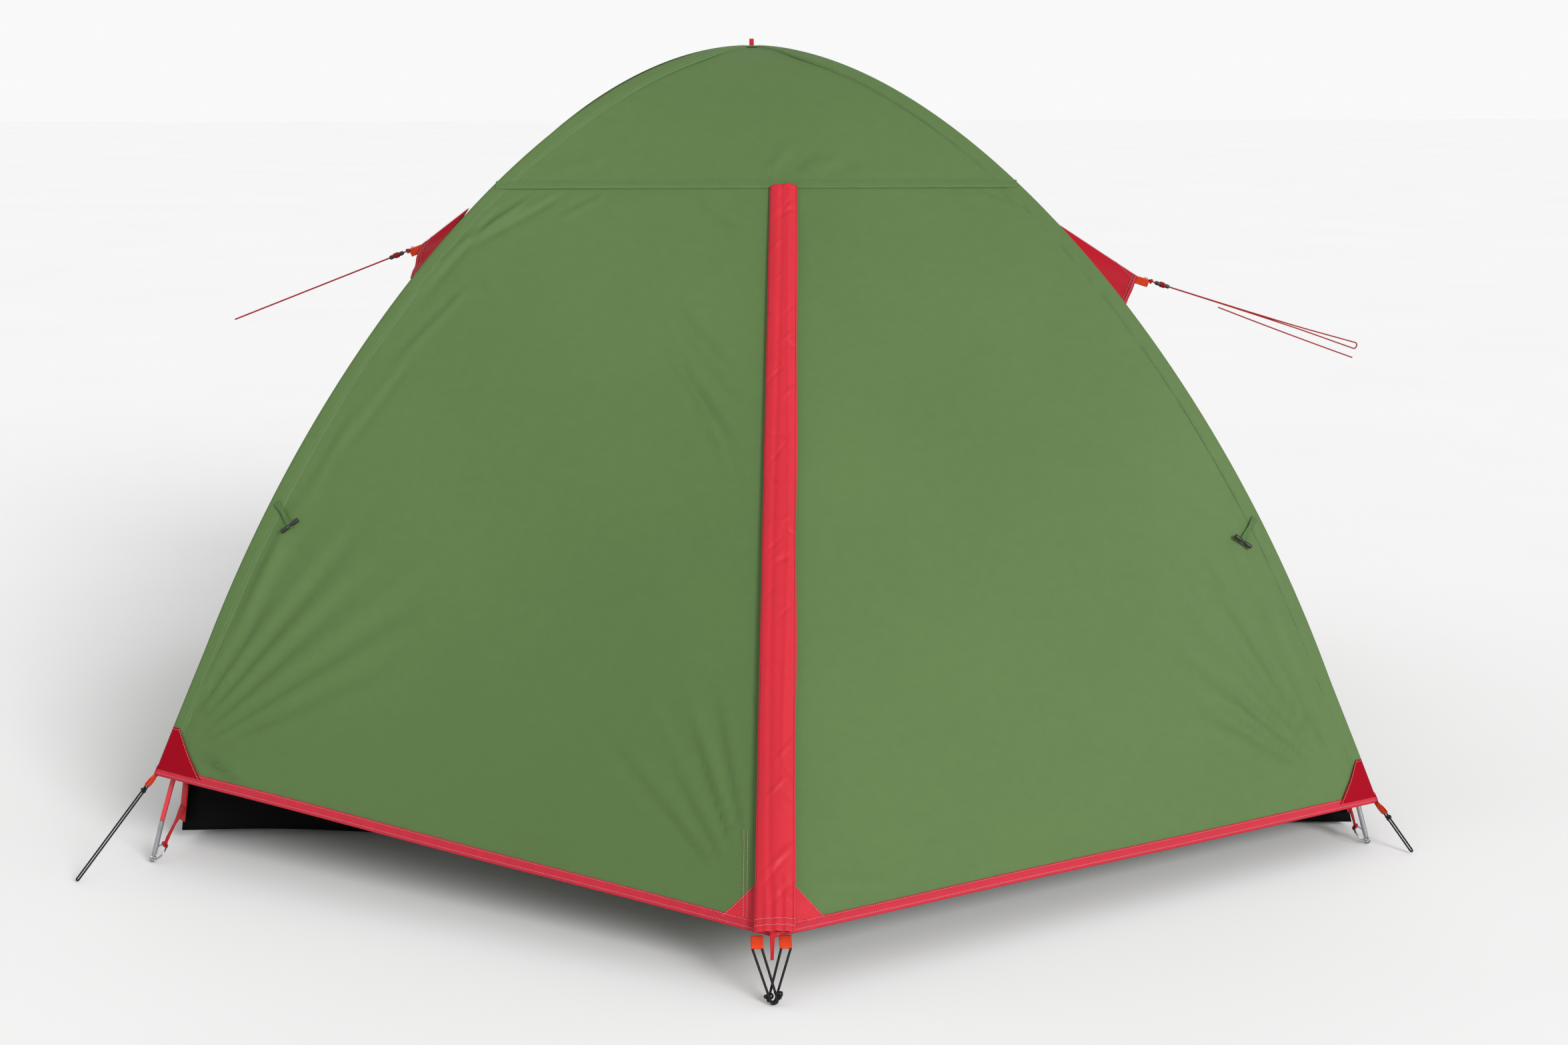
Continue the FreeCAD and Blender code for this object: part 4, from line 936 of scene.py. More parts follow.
# ---------------------------------------------------------------- seams along the poles and across the front
def pole_seam_frames(side):
    """Ridge points from hem to crown with the ways to the front cloth and to the side cloth."""
    spots = []
    for u in even(HEM[side] + 0.006, 0.992, 170):
        here = ridge(u, side, -1, FLY)
        ahead = (ridge(min(u + 0.004, 1.0), side, -1, FLY) - ridge(u - 0.004, side, -1, FLY)).normalized()
        t = (u - HEM[side]) / (SEAM - HEM[side])
        if t < 1.0:
            front = front_point(side, t, 0.05) - front_point(side, t, 0.0)
        else:
            front = Vector((-side, 0, 0))
        share = (u - HEM[side]) / (CROWN - HEM[side])
        mate = ridge(HEM[-side] + (CROWN - HEM[-side]) * share, side, 1, FLY)
        back = mate - here
        front = (front - ahead * front.dot(ahead)).normalized()
        back = (back - ahead * back.dot(ahead)).normalized() if back.length > 0.03 else Vector((0, 1, 0))
        outwards = here - Vector((0, 0, 0.5))
        front_out = facing(ahead.cross(front) * -side, outwards)
        back_out = facing(ahead.cross(back) * side, outwards)
        spots.append((here, front.normalized(), back, front_out.normalized(), back_out.normalized(), u))
    return spots


SEAM_SPOTS = {side: pole_seam_frames(side) for side in (-1, 1)}
for side in (-1, 1):
    rows = []
    stitched = Gather()
    lines = {0.0185: [], 0.0245: []}
    normals = []
    for here, front, back, front_out, back_out, u in SEAM_SPOTS[side]:
        wave = 0.0005 * math.sin(u * 210 + side) + 0.0004 * math.sin(u * 97)
        fade = smooth(u, 0.93, 0.99)
        reach = 1 - 0.6 * fade
        top = (front_out + back_out).normalized()
        across = ((0.0275, -0.0030), (0.0262, -0.0008), (0.0215, 0.0005 + wave),
                  (0.0150, 0.0010 + wave * 0.5))
        rows.append([here + front * (d * reach) + front_out * h for d, h in across]
                    + [here + front * (0.0080 * reach) + front_out * 0.0013,
                       here + front * 0.0035 + front_out * 0.0014, here + top * 0.0014]
                    + [here + back * d + back_out * h
                       for d, h in ((0.0035, 0.0018), (0.0080, 0.0018), (0.0088, 0.0002))])
        for offset in lines:
            lines[offset].append(here + front * (offset * reach) + front_out * (0.0007 + wave))
        normals.append(front_out)
    for offset in lines:
        stitch_row(stitched, lines[offset], normals)
    if side < 0:
        rows = [row[::-1] for row in rows]
    for rear, tag, word in ends_of(side):
        part("pole_seam_%s_%s" % (tag, word), rows, rear, fly_cloth, slot="fly_cloth")
        part("seam_stitches_%s_%s" % (tag, word), stitched, rear, thread_green)

roof_up = (Vector(ROOF[4][55]) - Vector(ROOF[0][55])).normalized()
roof_out = Vector((1, 0, 0)).cross(roof_up).normalized()
seam_ends = [ridge(SEAM, side, -1, FLY) for side in (-1, 1)]
seam_rows, seam_lines, seam_normals = [], ([], []), []
for c in even(0.004, 0.996, 160):
    here = between(seam_ends[0], seam_ends[1], c)
    wave = 0.0004 * math.sin(c * 260) + 0.0005 * math.sin(c * 83 + 2)
    below = [here - ZIP_RUN * d + ZIP_OUT * h
             for d, h in ((0.0062, 0.0004), (0.0056, 0.0020), (0.0030, 0.0023 + wave))]
    above = [here + roof_up * d + roof_out * h
             for d, h in ((0.0050, 0.0022 + wave), (0.0100, 0.0018), (0.0112, 0.0014), (0.0116, 0.0001))]
    seam_rows.append(below + [here + (ZIP_OUT + roof_out) * 0.0013] + above)
    seam_lines[0].append(here - ZIP_RUN * 0.0038 + ZIP_OUT * (0.0023 + wave))
    seam_lines[1].append(here + roof_up * 0.0085 + roof_out * 0.0020)
    seam_normals.append((ZIP_OUT + roof_out).normalized())
seam_rows = [list(row) for row in zip(*seam_rows)]
cross_stitches = Gather()
for line in seam_lines:
    stitch_row(cross_stitches, line, seam_normals)
tack = ZIP_TOP + Vector((-0.025, 0, 0))
for shift in (-0.0015, 0.0015):
    line = [tack + Vector((shift, 0, 0)) + roof_up * (0.012 + 0.03 * k / 8)
            + roof_out * (0.0012 - 0.001 * k / 8) for k in range(9)]
    stitch_row(cross_stitches, line, [roof_out] * 9)
for rear, tag in ENDS:
    part("cross_seam_" + tag, seam_rows, rear, fly_cloth, slot="fly_cloth")
    part("cross_stitches_" + tag, cross_stitches, rear, thread_green)

# ---------------------------------------------------------------- hems
HEM_PROFILE = [(0.0175, 0.0002), (0.0172, 0.0012), (0.0120, 0.0017), (0.0060, 0.0018), (0.0008, 0.0013),
               (-0.0008, 0.0), (0.0008, -0.0013), (0.0060, -0.0018), (0.0120, -0.0016), (0.0172, -0.0012)]


def hem_piece(points, ups, outs, seed):
    """A binding folded round the lower edge, puckered by its two rows of stitches."""
    rows, lines = [], ([], [])
    length = 0.0
    for i, (p, up, out) in enumerate(zip(points, ups, outs)):
        if i:
            length += (p - points[i - 1]).length
        pucker = 0.0005 * math.sin(length * 420 + seed) + 0.0004 * math.sin(length * 173)
        droop = 0.0012 * math.sin(length * 9 + seed)
        rows.append([p + up * (a + droop * 0.5) + out * (b + pucker * ((b > 0.0011) - (b < -0.0011)))
                     for a, b in HEM_PROFILE])
        lines[0].append(p + up * (0.0148 + droop * 0.5) + out * (0.0016 + pucker))
        lines[1].append(p + up * (0.0040 + droop * 0.5) + out * (0.0019 + pucker))
    stitched = Gather()
    for line in lines:
        stitch_row(stitched, line, outs)
    return [list(row) for row in zip(*rows)], stitched


for side in (-1, 1):
    points, ups, outs = [], [], []
    for v in even(-0.002, 1.0, 190):
        here = front_point(side, 0.0, v)
        up = (front_point(side, 0.03, v) - here).normalized()
        out = front_normal(side, 0.005, min(max(v, 0), 1))
        points.append(here)
        ups.append(up)
        outs.append((out - up * out.dot(up)).normalized())
    rows, stitched = hem_piece(points, ups, outs, side)
    if side < 0:
        rows = rows[::-1]
    both_bends("front_hem", side, rows, hem_cloth,
               (["door_trim_front_" + WORD[side]], ["door_trim_rear_" + WORD[-side]]), "red_cloth")
    both_bends("hem_stitches", side, stitched, thread_pale)

points, ups, outs = [], [], []
for c in even(-0.002, 1.002, 180):
    here = side_spot(0.0, c)
    up = (side_spot(0.02, c) - here).normalized()
    along = (side_spot(0.0, 1.0) - side_spot(0.0, 0.0)).normalized()
    points.append(here)
    ups.append(up)
    outs.append(facing(along.cross(up).normalized(), Vector((-1, 0, 0))))
side_hem_rows, side_hem_stitches = hem_piece(points, ups, outs, 3)
for rear, word in HALVES:
    part("side_hem_" + word, side_hem_rows, rear, hem_cloth, nodes=["side_bindings"] if not rear else [],
         slot="red_cloth")
    part("side_hem_stitches_" + word, side_hem_stitches, rear, thread_pale)

# ---------------------------------------------------------------- reinforcing patches
PATCH_TALL = {-1: 0.086, 1: 0.080}
PATCH_WIDE = {-1: 0.096, 1: 0.084}


def patch_rows(side, corner, tall, wide, top_width, count=22):
    """Rows of a patch in the corner at the pole or at the zip, and its slanting border with normals."""
    at_pole = corner == "pole"
    base_t, rise_t = [up_hem(side, 0.02 if at_pole else 0.98, height) for height in (0.010, tall)]
    flat_t, flat_v = [], []
    for i in range(count + 1):
        f = i / count
        t = base_t + (rise_t - base_t) * f
        width = wide + (top_width - wide) * (f ** 0.92)
        for j in range(count + 1):
            d = 0.0008 + width * j / count
            flat_t.append(t)
            flat_v.append(near_pole(side, t, d) if at_pole else near_zip(side, t, d))
    rises = []
    for i in range(count + 1):
        for j in range(count + 1):
            rim = i in (0, count) or j in (0, count)
            rises.append(0.0004 if rim else 0.0016 + 0.0004 * math.sin(i * 1.9) * math.sin(j * 1.3))
    lift = 0.0020 if at_pole else 0.0
    points, normals = front_places(side, flat_t, flat_v, np.array(rises) + lift)
    size = count + 1
    rows = [points[i * size:(i + 1) * size] for i in range(size)]
    slope_normals = [normals[i * size + count - 1] for i in range(size)]
    slope = [row[count - 1] + normal * 0.0003 for row, normal in zip(rows, slope_normals)]
    return rows, slope, slope_normals


for side in (-1, 1):
    for corner, tall, wide, top in (("pole", PATCH_TALL[side], PATCH_WIDE[side], 0.012),
                                    ("zip", 0.104, 0.092, 0.006)):
        rows, slope, slope_normals = patch_rows(side, corner, tall, wide, top)
        stitched = Gather()
        stitch_row(stitched, slope, slope_normals, width=0.0009)
        top_line = rows[-2][1:]
        stitch_row(stitched, top_line, [slope_normals[-2]] * len(top_line), width=0.0009)
        at_pole = corner == "pole"
        if (side > 0) == at_pole:
            rows = [row[::-1] for row in rows]
        cloth, slot = (patch_cloth, "dark_red_cloth") if at_pole else (strip_cloth, "red_cloth")
        for rear, tag, word in ends_of(side):
            body = "tent" if at_pole else "leaf_%s_%s" % (tag, word)
            part("%s_patch_%s_%s" % (corner, tag, word), rows, rear, cloth, body=body, slot=slot,
                 nodes=["corner_patches"] if at_pole and side < 0 and not rear else [])
            part("%s_patch_stitches_%s_%s" % (corner, tag, word), stitched, rear, thread_pale, body=body)

# ---------------------------------------------------------------- storm flap, zip and slider
flap_pick = random.Random(21)
flap_creases = []
for k in range(46):
    place = flap_pick.random()
    slant = (0.5 + flap_pick.random()) * (1 if flap_pick.random() > 0.35 else -1)
    flap_creases.append((place, flap_pick.uniform(-0.02, 0.02), slant, flap_pick.uniform(0.010, 0.022),
                         flap_pick.uniform(0.0012, 0.0028), flap_pick.uniform(-1, 1)))


def flap_half(t):
    """Half of the storm flap's width."""
    return 0.0250 + 0.0055 * (1 - t)


def flap_height(t, offset):
    """Rise of the storm flap over the zip plane, and its creases."""
    q = offset / flap_half(t)
    arching = 0.0118 * (1 - abs(q) ** 2.6) + (0.0040 if q < 0 else 0.0052) * abs(q) ** 2.6
    long_fold = -0.0022 * math.exp(-((offset + 0.008 + 0.004 * math.sin(5 * t)) / 0.004) ** 2)
    long_fold += (0.0016 * math.exp(-((offset - 0.012 + 0.003 * math.sin(9 * t)) / 0.003) ** 2)
                  * smooth(t, 0.1, 0.3))
    crease = 0.0
    for place, centre, slant, size, height, sign in flap_creases:
        d = (t - place) * ZIP_LENGTH - slant * (offset - centre)
        if abs(d) < 0.03 and abs(offset - centre) < size * 1.6:
            near = 1 - min(abs(offset - centre) / (size * 1.6), 1.0)
            fade = near * near * (3 - 2 * near)
            crease += (1 if sign > 0 else -1) * height * math.exp(-(d / 0.0035) ** 2) * fade
    edge = 0.0014 * math.sin(t * 44) * max(q, 0.0) ** 4
    gathered = 0.0017 * math.sin(math.tau * offset / 0.0145 + 9 * t) * (1 - smooth(t, 0.015, 0.085))
    return arching + (long_fold + crease + gathered) * (1 - abs(q) ** 6) + edge


flap_columns = ([-1.0, -0.985, -0.94] + [round(-0.86 + 0.1 * k, 2) for k in range(18)]
                + [0.92, 0.96, 0.985, 1.0])
flap_rows = []
flap_lines = {-0.93: [], 0.90: []}
for t in even(0.003, 0.9965, 420):
    half = flap_half(t)
    centre = between(ZIP_FOOT, ZIP_TOP, t)
    row = []
    for q in flap_columns:
        sway = 0.0010 * math.sin(t * 23) * max(q, 0.0) ** 3
        row.append(centre + Vector((q * half + sway, 0, 0)) + ZIP_OUT * (flap_height(t, q * half) + 0.0006))
    flap_rows.append(row)
    for q in flap_lines:
        flap_lines[q].append(centre + Vector((q * half, 0, 0))
                             + ZIP_OUT * (flap_height(t, q * half) + 0.0008))
for rear, tag in ENDS:
    flap = part("storm_flap_cloth_" + tag, flap_rows, rear, strip_cloth, body="flap_" + tag,
                nodes=["storm_flap_" + tag], slot="red_cloth", thick=0.0006)
flap_stitches = Gather()
for line in flap_lines.values():
    stitch_row(flap_stitches, line, [ZIP_OUT] * len(line))
both("flap_stitches", flap_stitches, thread_dark, body="flap_front")
foot_heights = even(0.012, 0.110, 36)
for distance in (0.0452, 0.0515):   # from the zip, clear of the flap when it is folded open
    beside = Gather()
    line, normals = front_places(-1, foot_heights, [near_zip(-1, t, distance) for t in foot_heights], 0.0026)
    stitch_row(beside, line, normals)
    both("foot_line_%d" % round(distance * 10000), beside, thread_pale, body="leaf_front_left")
foot_stitches = Gather()
for row in (flap_rows[3], flap_rows[6]):
    line = [p + ZIP_OUT * 0.0003 for p in row]
    stitch_row(foot_stitches, line, [ZIP_OUT] * len(line), width=0.0009)
both("flap_foot_stitches", foot_stitches, thread_pale, body="flap_front")

ZIP_SHIFT = Vector((0.0045, 0, 0))
TAPE_PROFILE = ((0.0135, 0.0006), (0.012, 0.0016), (0.008, 0.0018), (0.003, 0.0018), (0.0022, 0.0012))
TOOTH, TOOTH_COUNT = (0.0021, 0.00055, 0.0009), 560
BOX_FACES = [(0, 1, 3, 2), (4, 6, 7, 5), (0, 4, 5, 1), (2, 3, 7, 6), (0, 2, 6, 4), (1, 5, 7, 3)]
for side in (-1, 1):
    rows = []
    teeth = Gather()
    for t in even(0.012, 0.992, 120):
        centre = between(ZIP_FOOT, ZIP_TOP, t) - ZIP_SHIFT
        rows.append([centre + Vector((side * d, 0, 0)) + ZIP_OUT * r for d, r in TAPE_PROFILE])
    for k in range(TOOTH_COUNT):
        t = 0.014 + 0.976 * (k + (0.5 if side > 0 else 0.0)) / TOOTH_COUNT
        at = between(ZIP_FOOT, ZIP_TOP, t) - ZIP_SHIFT + Vector((side * 0.0016, 0, 0)) + ZIP_OUT * 0.0026
        corners = [at + Vector((side * TOOTH[0] * i, 0, 0))
                   + ZIP_RUN * (TOOTH[1] * j * (1.3 if i < 0 else 0.9))
                   + ZIP_OUT * (TOOTH[2] * m) for i in (-1, 1) for j in (-1, 1) for m in (-1, 1)]
        teeth.add(corners, BOX_FACES)
    for rear, tag, word in ends_of(side):
        body = "leaf_%s_%s" % (tag, word)
        part("zip_tape_%s_%s" % (tag, word), rows, rear, zip_tape, body=body,
             nodes=["zip_" + tag] if side < 0 else [], slot="zip_coil")
        part("zip_teeth_%s_%s" % (tag, word), teeth, rear, zip_teeth, body=body, slot="zip_coil")

slider_middle = ZIP_FOOT + ZIP_RUN * 0.024 - Vector((0.003, 0, 0)) + ZIP_OUT * 0.0054
slider_parts = Gather()
SLIDER_LENGTH, SLIDER_HALF, SLIDER_RISE = 0.0112, 0.0044, 0.0020
slider_sizes = [0.55, 0.85, 1.0, 0.93, 0.85, 0.93, 1.0, 0.8, 0.45]


def slider_spot(place, size, a):
    return (slider_middle + ZIP_RUN * (SLIDER_LENGTH * place)
            + Vector((SLIDER_HALF * size * signed_power(math.cos(a), 0.5), 0, 0))
            + ZIP_OUT * (SLIDER_RISE * size * signed_power(math.sin(a), 0.5)))


slider_parts.add(*lathed([(k / (len(slider_sizes) - 1) - 0.5, size) for k, size in enumerate(slider_sizes)],
                         12, slider_spot))
both("slider_block", slider_parts, black_plastic, body="slider_front",
     nodes=(["zip_slider_front"], ["zip_slider_rear"]), slot="black_plastic")
pull_rows = []
for k in range(25):
    f = k / 24
    at = slider_middle - ZIP_RUN * (0.004 + 0.059 * f) + ZIP_OUT * (0.0020 - 0.0018 * math.sin(f * 3.0))
    half = 0.0032 + 0.0006 * math.sin(f * 5)
    pull_rows.append([at + Vector((half * q, 0, 0)) + ZIP_OUT * (0.0004 * math.cos(q * 2 + f * 5))
                      for q in (-1, -0.6, -0.2, 0.2, 0.6, 1)])
for rear, tag in ENDS:
    part("slider_pull_" + tag, pull_rows, rear, red_webbing, body="slider_" + tag, slot="red_webbing",
         thick=0.0010)

# ---------------------------------------------------------------- toggles on the pole seams
TOGGLE_HEIGHT = 0.41
TAPE_LENGTH, TAPE_WIDTH = 0.058, 0.011
BAR_LENGTH, BAR_D = 0.036, 0.008
TOGGLE_BODY = {-1: "toggle_fl", 1: "toggle_fr"}
BAR_STATIONS = [(-1.0, 0.45), (-0.985, 0.75), (-0.93, 0.95), (-0.80, 1.0), (-0.45, 0.86), (-0.16, 0.80),
                (-0.13, 0.62), (0.13, 0.62), (0.16, 0.80), (0.45, 0.86), (0.80, 1.0), (0.93, 0.95),
                (0.985, 0.75), (1.0, 0.45)]
for side in (-1, 1):
    top = front_point(side, TOGGLE_HEIGHT, 0.012)
    low = front_point(side, TOGGLE_HEIGHT - 0.030, 0.060)
    across_panel = front_point(side, TOGGLE_HEIGHT, 0.2) - front_point(side, TOGGLE_HEIGHT, 0.0)
    along_panel = (front_point(side, TOGGLE_HEIGHT + 0.03, 0.03)
                   - front_point(side, TOGGLE_HEIGHT - 0.03, 0.03))
    out = facing(across_panel.cross(along_panel).normalized(), Vector((0, -1, 0)))
    run = (low - top).normalized()
    top = top + out * 0.0035
    across = run.cross(out).normalized()
    rows = []
    for k in range(29):
        f = k / 28
        half = TAPE_WIDTH / 2 * (1 - 0.34 * math.sin(math.pi * min(f * 1.2, 1.0)) ** 2)
        lift = 0.0012 * math.sin(f * 9) * f + 0.0020 * f * f
        bow = 0.0010 * math.sin(f * 7)
        rows.append([top + run * (TAPE_LENGTH * f) + across * (half * q) + out * (lift + bow * (1 - q * q))
                     for q in (-1, -0.7, -0.35, 0, 0.35, 0.7, 1)])
    bar = Gather()
    centre = top + run * (TAPE_LENGTH - 0.004) + out * (BAR_D / 2 + 0.0002)
    bar.add(*lathed(BAR_STATIONS, 16, lambda place, size, a: centre + across * (BAR_LENGTH / 2 * place)
                    + out * (BAR_D / 2 * size * math.cos(a)) + run * (BAR_D / 2 * size * math.sin(a))))
    stitched = Gather()
    for f in (0.03, 0.11):
        line = [top + run * (TAPE_LENGTH * f) + across * (TAPE_WIDTH * 0.4 * q) + out * 0.0014
                for q in (-1, -0.5, 0, 0.5, 1)]
        stitch_row(stitched, line, [out] * 5, pitch=0.002)
    for rear, tag, word in ends_of(side):
        body = REAR_OF[TOGGLE_BODY[side]] if rear else TOGGLE_BODY[side]
        part("toggle_tape_%s_%s" % (tag, word), rows, rear, tie_cloth, body=body,
             nodes=["toggle_%s_%s" % (tag, word)], slot="fly_cloth", thick=0.0012)
        part("toggle_bar_%s_%s" % (tag, word), bar, rear, black_plastic, body=body, slot="black_plastic")
        part("toggle_stitches_%s_%s" % (tag, word), stitched, rear, thread_green, body=body)

# ---------------------------------------------------------------- vent hoods
HOOD_HALF_Y = {-1: 0.140, 1: 0.170}
HOOD_TOP = {-1: 1.045, 1: 1.040}
HOOD_FOOT = {-1: 0.925, 1: 0.855}
HOOD_PROFILE = [(-0.0008, 0.0012), (0.0016, 0.0014), (0.0028, 0.0), (0.0016, -0.0014), (-0.0090, -0.0012),
                (-0.0090, 0.0012)]


def side_surface(side, y, height):
    return Vector((ridge(share_at_height(height, FLY), side, -1, FLY).x, y, height))


def hood_rows(side):
    """The hood's rows, each from the front side over the ridge to the rear side, and its top and tip."""
    lift = Vector((side * 0.008, 0, 0.006))
    top = side_surface(side, 0, HOOD_TOP[side]) + lift
    tip = HOOD_TIP[side] + Vector((side * 0.0008, 0, 0.0008))
    feet = [side_surface(side, end * HOOD_HALF_Y[side], HOOD_FOOT[side]) + lift for end in (-1, 1)]
    normals = [facing(n.normalized(), Vector((side, 0, 0)))
               for n in ((feet[0] - top).cross(tip - top), (tip - top).cross(feet[1] - top))]
    rows = []
    for f in even(0.012, 1.0, 40):
        ridge_line = between(top, tip, f)
        row = []
        for q in even(-1, 1, 60):
            half = 0 if q < 0 else 1
            spot = between(ridge_line, between(top, feet[half], f), abs(q))
            arching = math.sin(math.pi * abs(q))
            hollow = -0.010 * arching * math.sin(math.pi * f) ** 0.8 * (0.6 + 0.4 * f)
            crease = 0.0016 * math.sin(11 * abs(q) + 4 * f + 2 * half) * arching * f
            row.append(spot + normals[half] * (hollow + crease))
        rows.append(row)
    return rows, top, tip


for side in (-1, 1):
    rows, top, tip = hood_rows(side)
    if side < 0:
        rows = [row[::-1] for row in rows]
    word = WORD[side]
    hood = grid("hood_" + word, rows, hood_cloth, body="tent", nodes=["vent_hood_" + word],
                slot="dark_red_cloth", thick=0.0008)
    trim, stitched = Gather(), Gather()
    edge_rows = rows[-1]
    centres, frames, normals = [], [], []
    for j in range(len(edge_rows)):
        ahead = (edge_rows[min(j + 1, 60)] - edge_rows[max(j - 1, 0)]).normalized()
        down = (rows[-1][j] - rows[-4][j]).normalized()
        down = (down - ahead * down.dot(ahead)).normalized()
        normal = facing(ahead.cross(down).normalized(), Vector((side, 0, 1)))
        centres.append(edge_rows[j])
        frames.append((down, normal))
        normals.append(normal)
    trim.add(*sweep(centres, frames, HOOD_PROFILE))
    for d in (-0.0015, -0.0075):
        stitch_row(stitched, [p + f[0] * d + f[1] * 0.0014 for p, f in zip(centres, frames)], normals)
    piece("hood_hem_" + word, trim.points, trim.faces, hood_cloth, body="tent", slot="dark_red_cloth")
    ridge_line = [between(top, tip, f) + Vector((side * 0.0012, 0, 0.0016)) for f in even(0.03, 0.97, 30)]
    for end in (-1, 1):
        shifted = [p + Vector((0, end * 0.004, -0.0006)) for p in ridge_line]
        stitch_row(stitched, shifted, [Vector((side * 0.6, 0, 0.8))] * len(shifted))
    tip_patch = [between(tip, top, 0.22 * (1 - abs(q)))
                 + Vector((side * 0.0016, q * 0.030, 0.0014 - 0.018 * abs(q)))
                 for q in even(-1, 1, 8)]
    stitch_row(stitched, tip_patch, [Vector((side * 0.7, 0, 0.7))] * 9, pitch=0.003)
    piece("hood_stitches_" + word, stitched.points, stitched.faces, thread_pale, body="tent")


# ---------------------------------------------------------------- webbing tabs
def webbing_loop(start, run, across, length, width, gap=0.0022, thick=0.0009):
    """Folded webbing: two layers from a sewn end to a round fold, as rows of points."""
    out = run.cross(across).normalized()
    straight = 0.90 * length
    high = gap / 2 + thick / 2
    legs = [(straight * k / 8, gap / 2 * smooth(k / 8, 0.0, 0.6) + thick / 2) for k in range(9)]
    turn = [math.pi * k / 8 for k in range(1, 8)]
    centre_line = ([(along, -rise) for along, rise in legs]
                   + [(straight + high * 1.2 * math.sin(a), -high * math.cos(a)) for a in turn] + legs[::-1])
    rows = []
    for along, rise in centre_line:
        rows.append([start + run * along + across * (width / 2 * q) + out * rise
                     for q in (-1, -0.8, -0.4, 0, 0.4, 0.8, 1)])
    return rows


for side in (-1, 1):
    run = (GUY_END[side] - HOOD_TIP[side]).normalized()
    across = run.cross(Vector((0, 1, 0.25))).normalized()
    start = HOOD_TIP[side] - run * 0.004 + Vector((0, 0, -0.006))
    rows = webbing_loop(start, run, across, TAB_LENGTH + 0.006, 0.0155)
    grid("hood_tab_" + WORD[side], rows, orange_webbing, body="tent",
         nodes=["hood_tabs"] if side < 0 else [], slot="orange_webbing", thick=0.0009)
    normal = facing(run.cross(across).normalized(), Vector((0, 0, 1)))
    eye = HOOD_TIP[side] + run * (TAB_LENGTH - 0.005)
    ring_centres = [eye + normal * 0.0030 + run * (0.0034 * math.cos(a)) + across * (0.0034 * math.sin(a))
                    for a in (2 * math.pi * k / 24 for k in range(25))]
    parts = Gather()
    parts.add(*tube_mesh(ring_centres, 0.0009))
    piece("hood_eyelet_" + WORD[side], parts.points, parts.faces, steel, body="tent", slot="steel")

for side in (-1, 1):
    centre = front_point(side, 0.0, 1.0) + Vector((TAB_PLACE[side], 0, 0))
    start = centre + ZIP_RUN * 0.0034 - ZIP_OUT * 0.003
    run = Vector((0, -20.0, -8.0)).normalized()
    across = Vector((1, 0, 0))
    rows = webbing_loop(start, run, across, 0.0265, 0.0185, gap=0.0042)
    stitched = Gather()
    for d in (0.004, 0.0075):
        line = [centre + ZIP_RUN * d + ZIP_OUT * 0.0024 + across * (0.008 * q / 3) for q in range(-3, 4)]
        stitch_row(stitched, line, [ZIP_OUT] * 7, pitch=0.0022)
    for rear, tag, word in ends_of(side):
        body = "leaf_%s_%s" % (tag, word)
        part("peg_tab_loop_%s_%s" % (tag, word), rows, rear, orange_webbing, body=body,
             nodes=["peg_tab_%s_%s" % (tag, word)], slot="orange_webbing", thick=0.0010)
        part("peg_tab_stitches_%s_%s" % (tag, word), stitched, rear, thread_dark, body=body)

for side in (-1, 1):
    out = TAB_OUT[side]
    start = CORNER[side] + out * 0.0010 + Vector((-side * 0.0015, 0.001, 0))
    across = out.cross(Vector((side * 0.4, -0.9, 0))).normalized()
    across = across.cross(out).normalized()
    rows = webbing_loop(start, out, across, 0.024, 0.018, gap=0.0034)
    for rear, tag, word in ends_of(side):
        part("corner_tab_%s_%s" % (tag, word), rows, rear, orange_webbing,
             nodes=["corner_tabs"] if side < 0 and not rear else [], slot="orange_webbing", thick=0.0010)

# ---------------------------------------------------------------- line runners with their turns of cord
RUNNER_STATIONS = [(-1.0, 0.62), (-0.97, 0.86), (-0.86, 1.0), (-0.55, 0.97), (-0.30, 0.80), (0.0, 0.76),
                   (0.30, 0.80), (0.55, 0.97), (0.86, 1.0), (0.97, 0.86), (1.0, 0.62)]
for side in (-1, 1):
    run = (GUY_END[side] - HOOD_TIP[side]).normalized()
    across = Vector((0, 1, 0))
    normal = run.cross(across).normalized()
    middle = HOOD_TIP[side] + run * RUNNER_PLACE
    word = WORD[side]
    points, faces = lathed(RUNNER_STATIONS, 24, lambda place, size, a: middle + run * (RUNNER[0] / 2 * place)
                           + across * (RUNNER[1] / 2 * signed_power(math.cos(a), 0.45) * (0.7 + 0.3 * size))
                           + normal * (RUNNER[2] / 2 * signed_power(math.sin(a), 0.6) * size))
    piece("runner_block_" + word, points, faces, black_plastic, body="runner_" + word,
          nodes=["guy_runner_" + word], slot="black_plastic")
    turns = []
    for k in range(97):
        a = 2 * math.pi * k / 24
        along = 0.0045 * (k / 96 - 0.5) * 2
        turns.append(middle + run * (along + 0.0006 * math.sin(a * 2)) + across * (0.0083 * math.cos(a))
                     + normal * (0.0043 * signed_power(math.sin(a), 0.6)))
    points, faces = tube_mesh(turns, GUY_D / 2 * 0.9)
    piece("runner_wrap_" + word, points, faces, red_cord, body="runner_" + word, slot="red_cord")

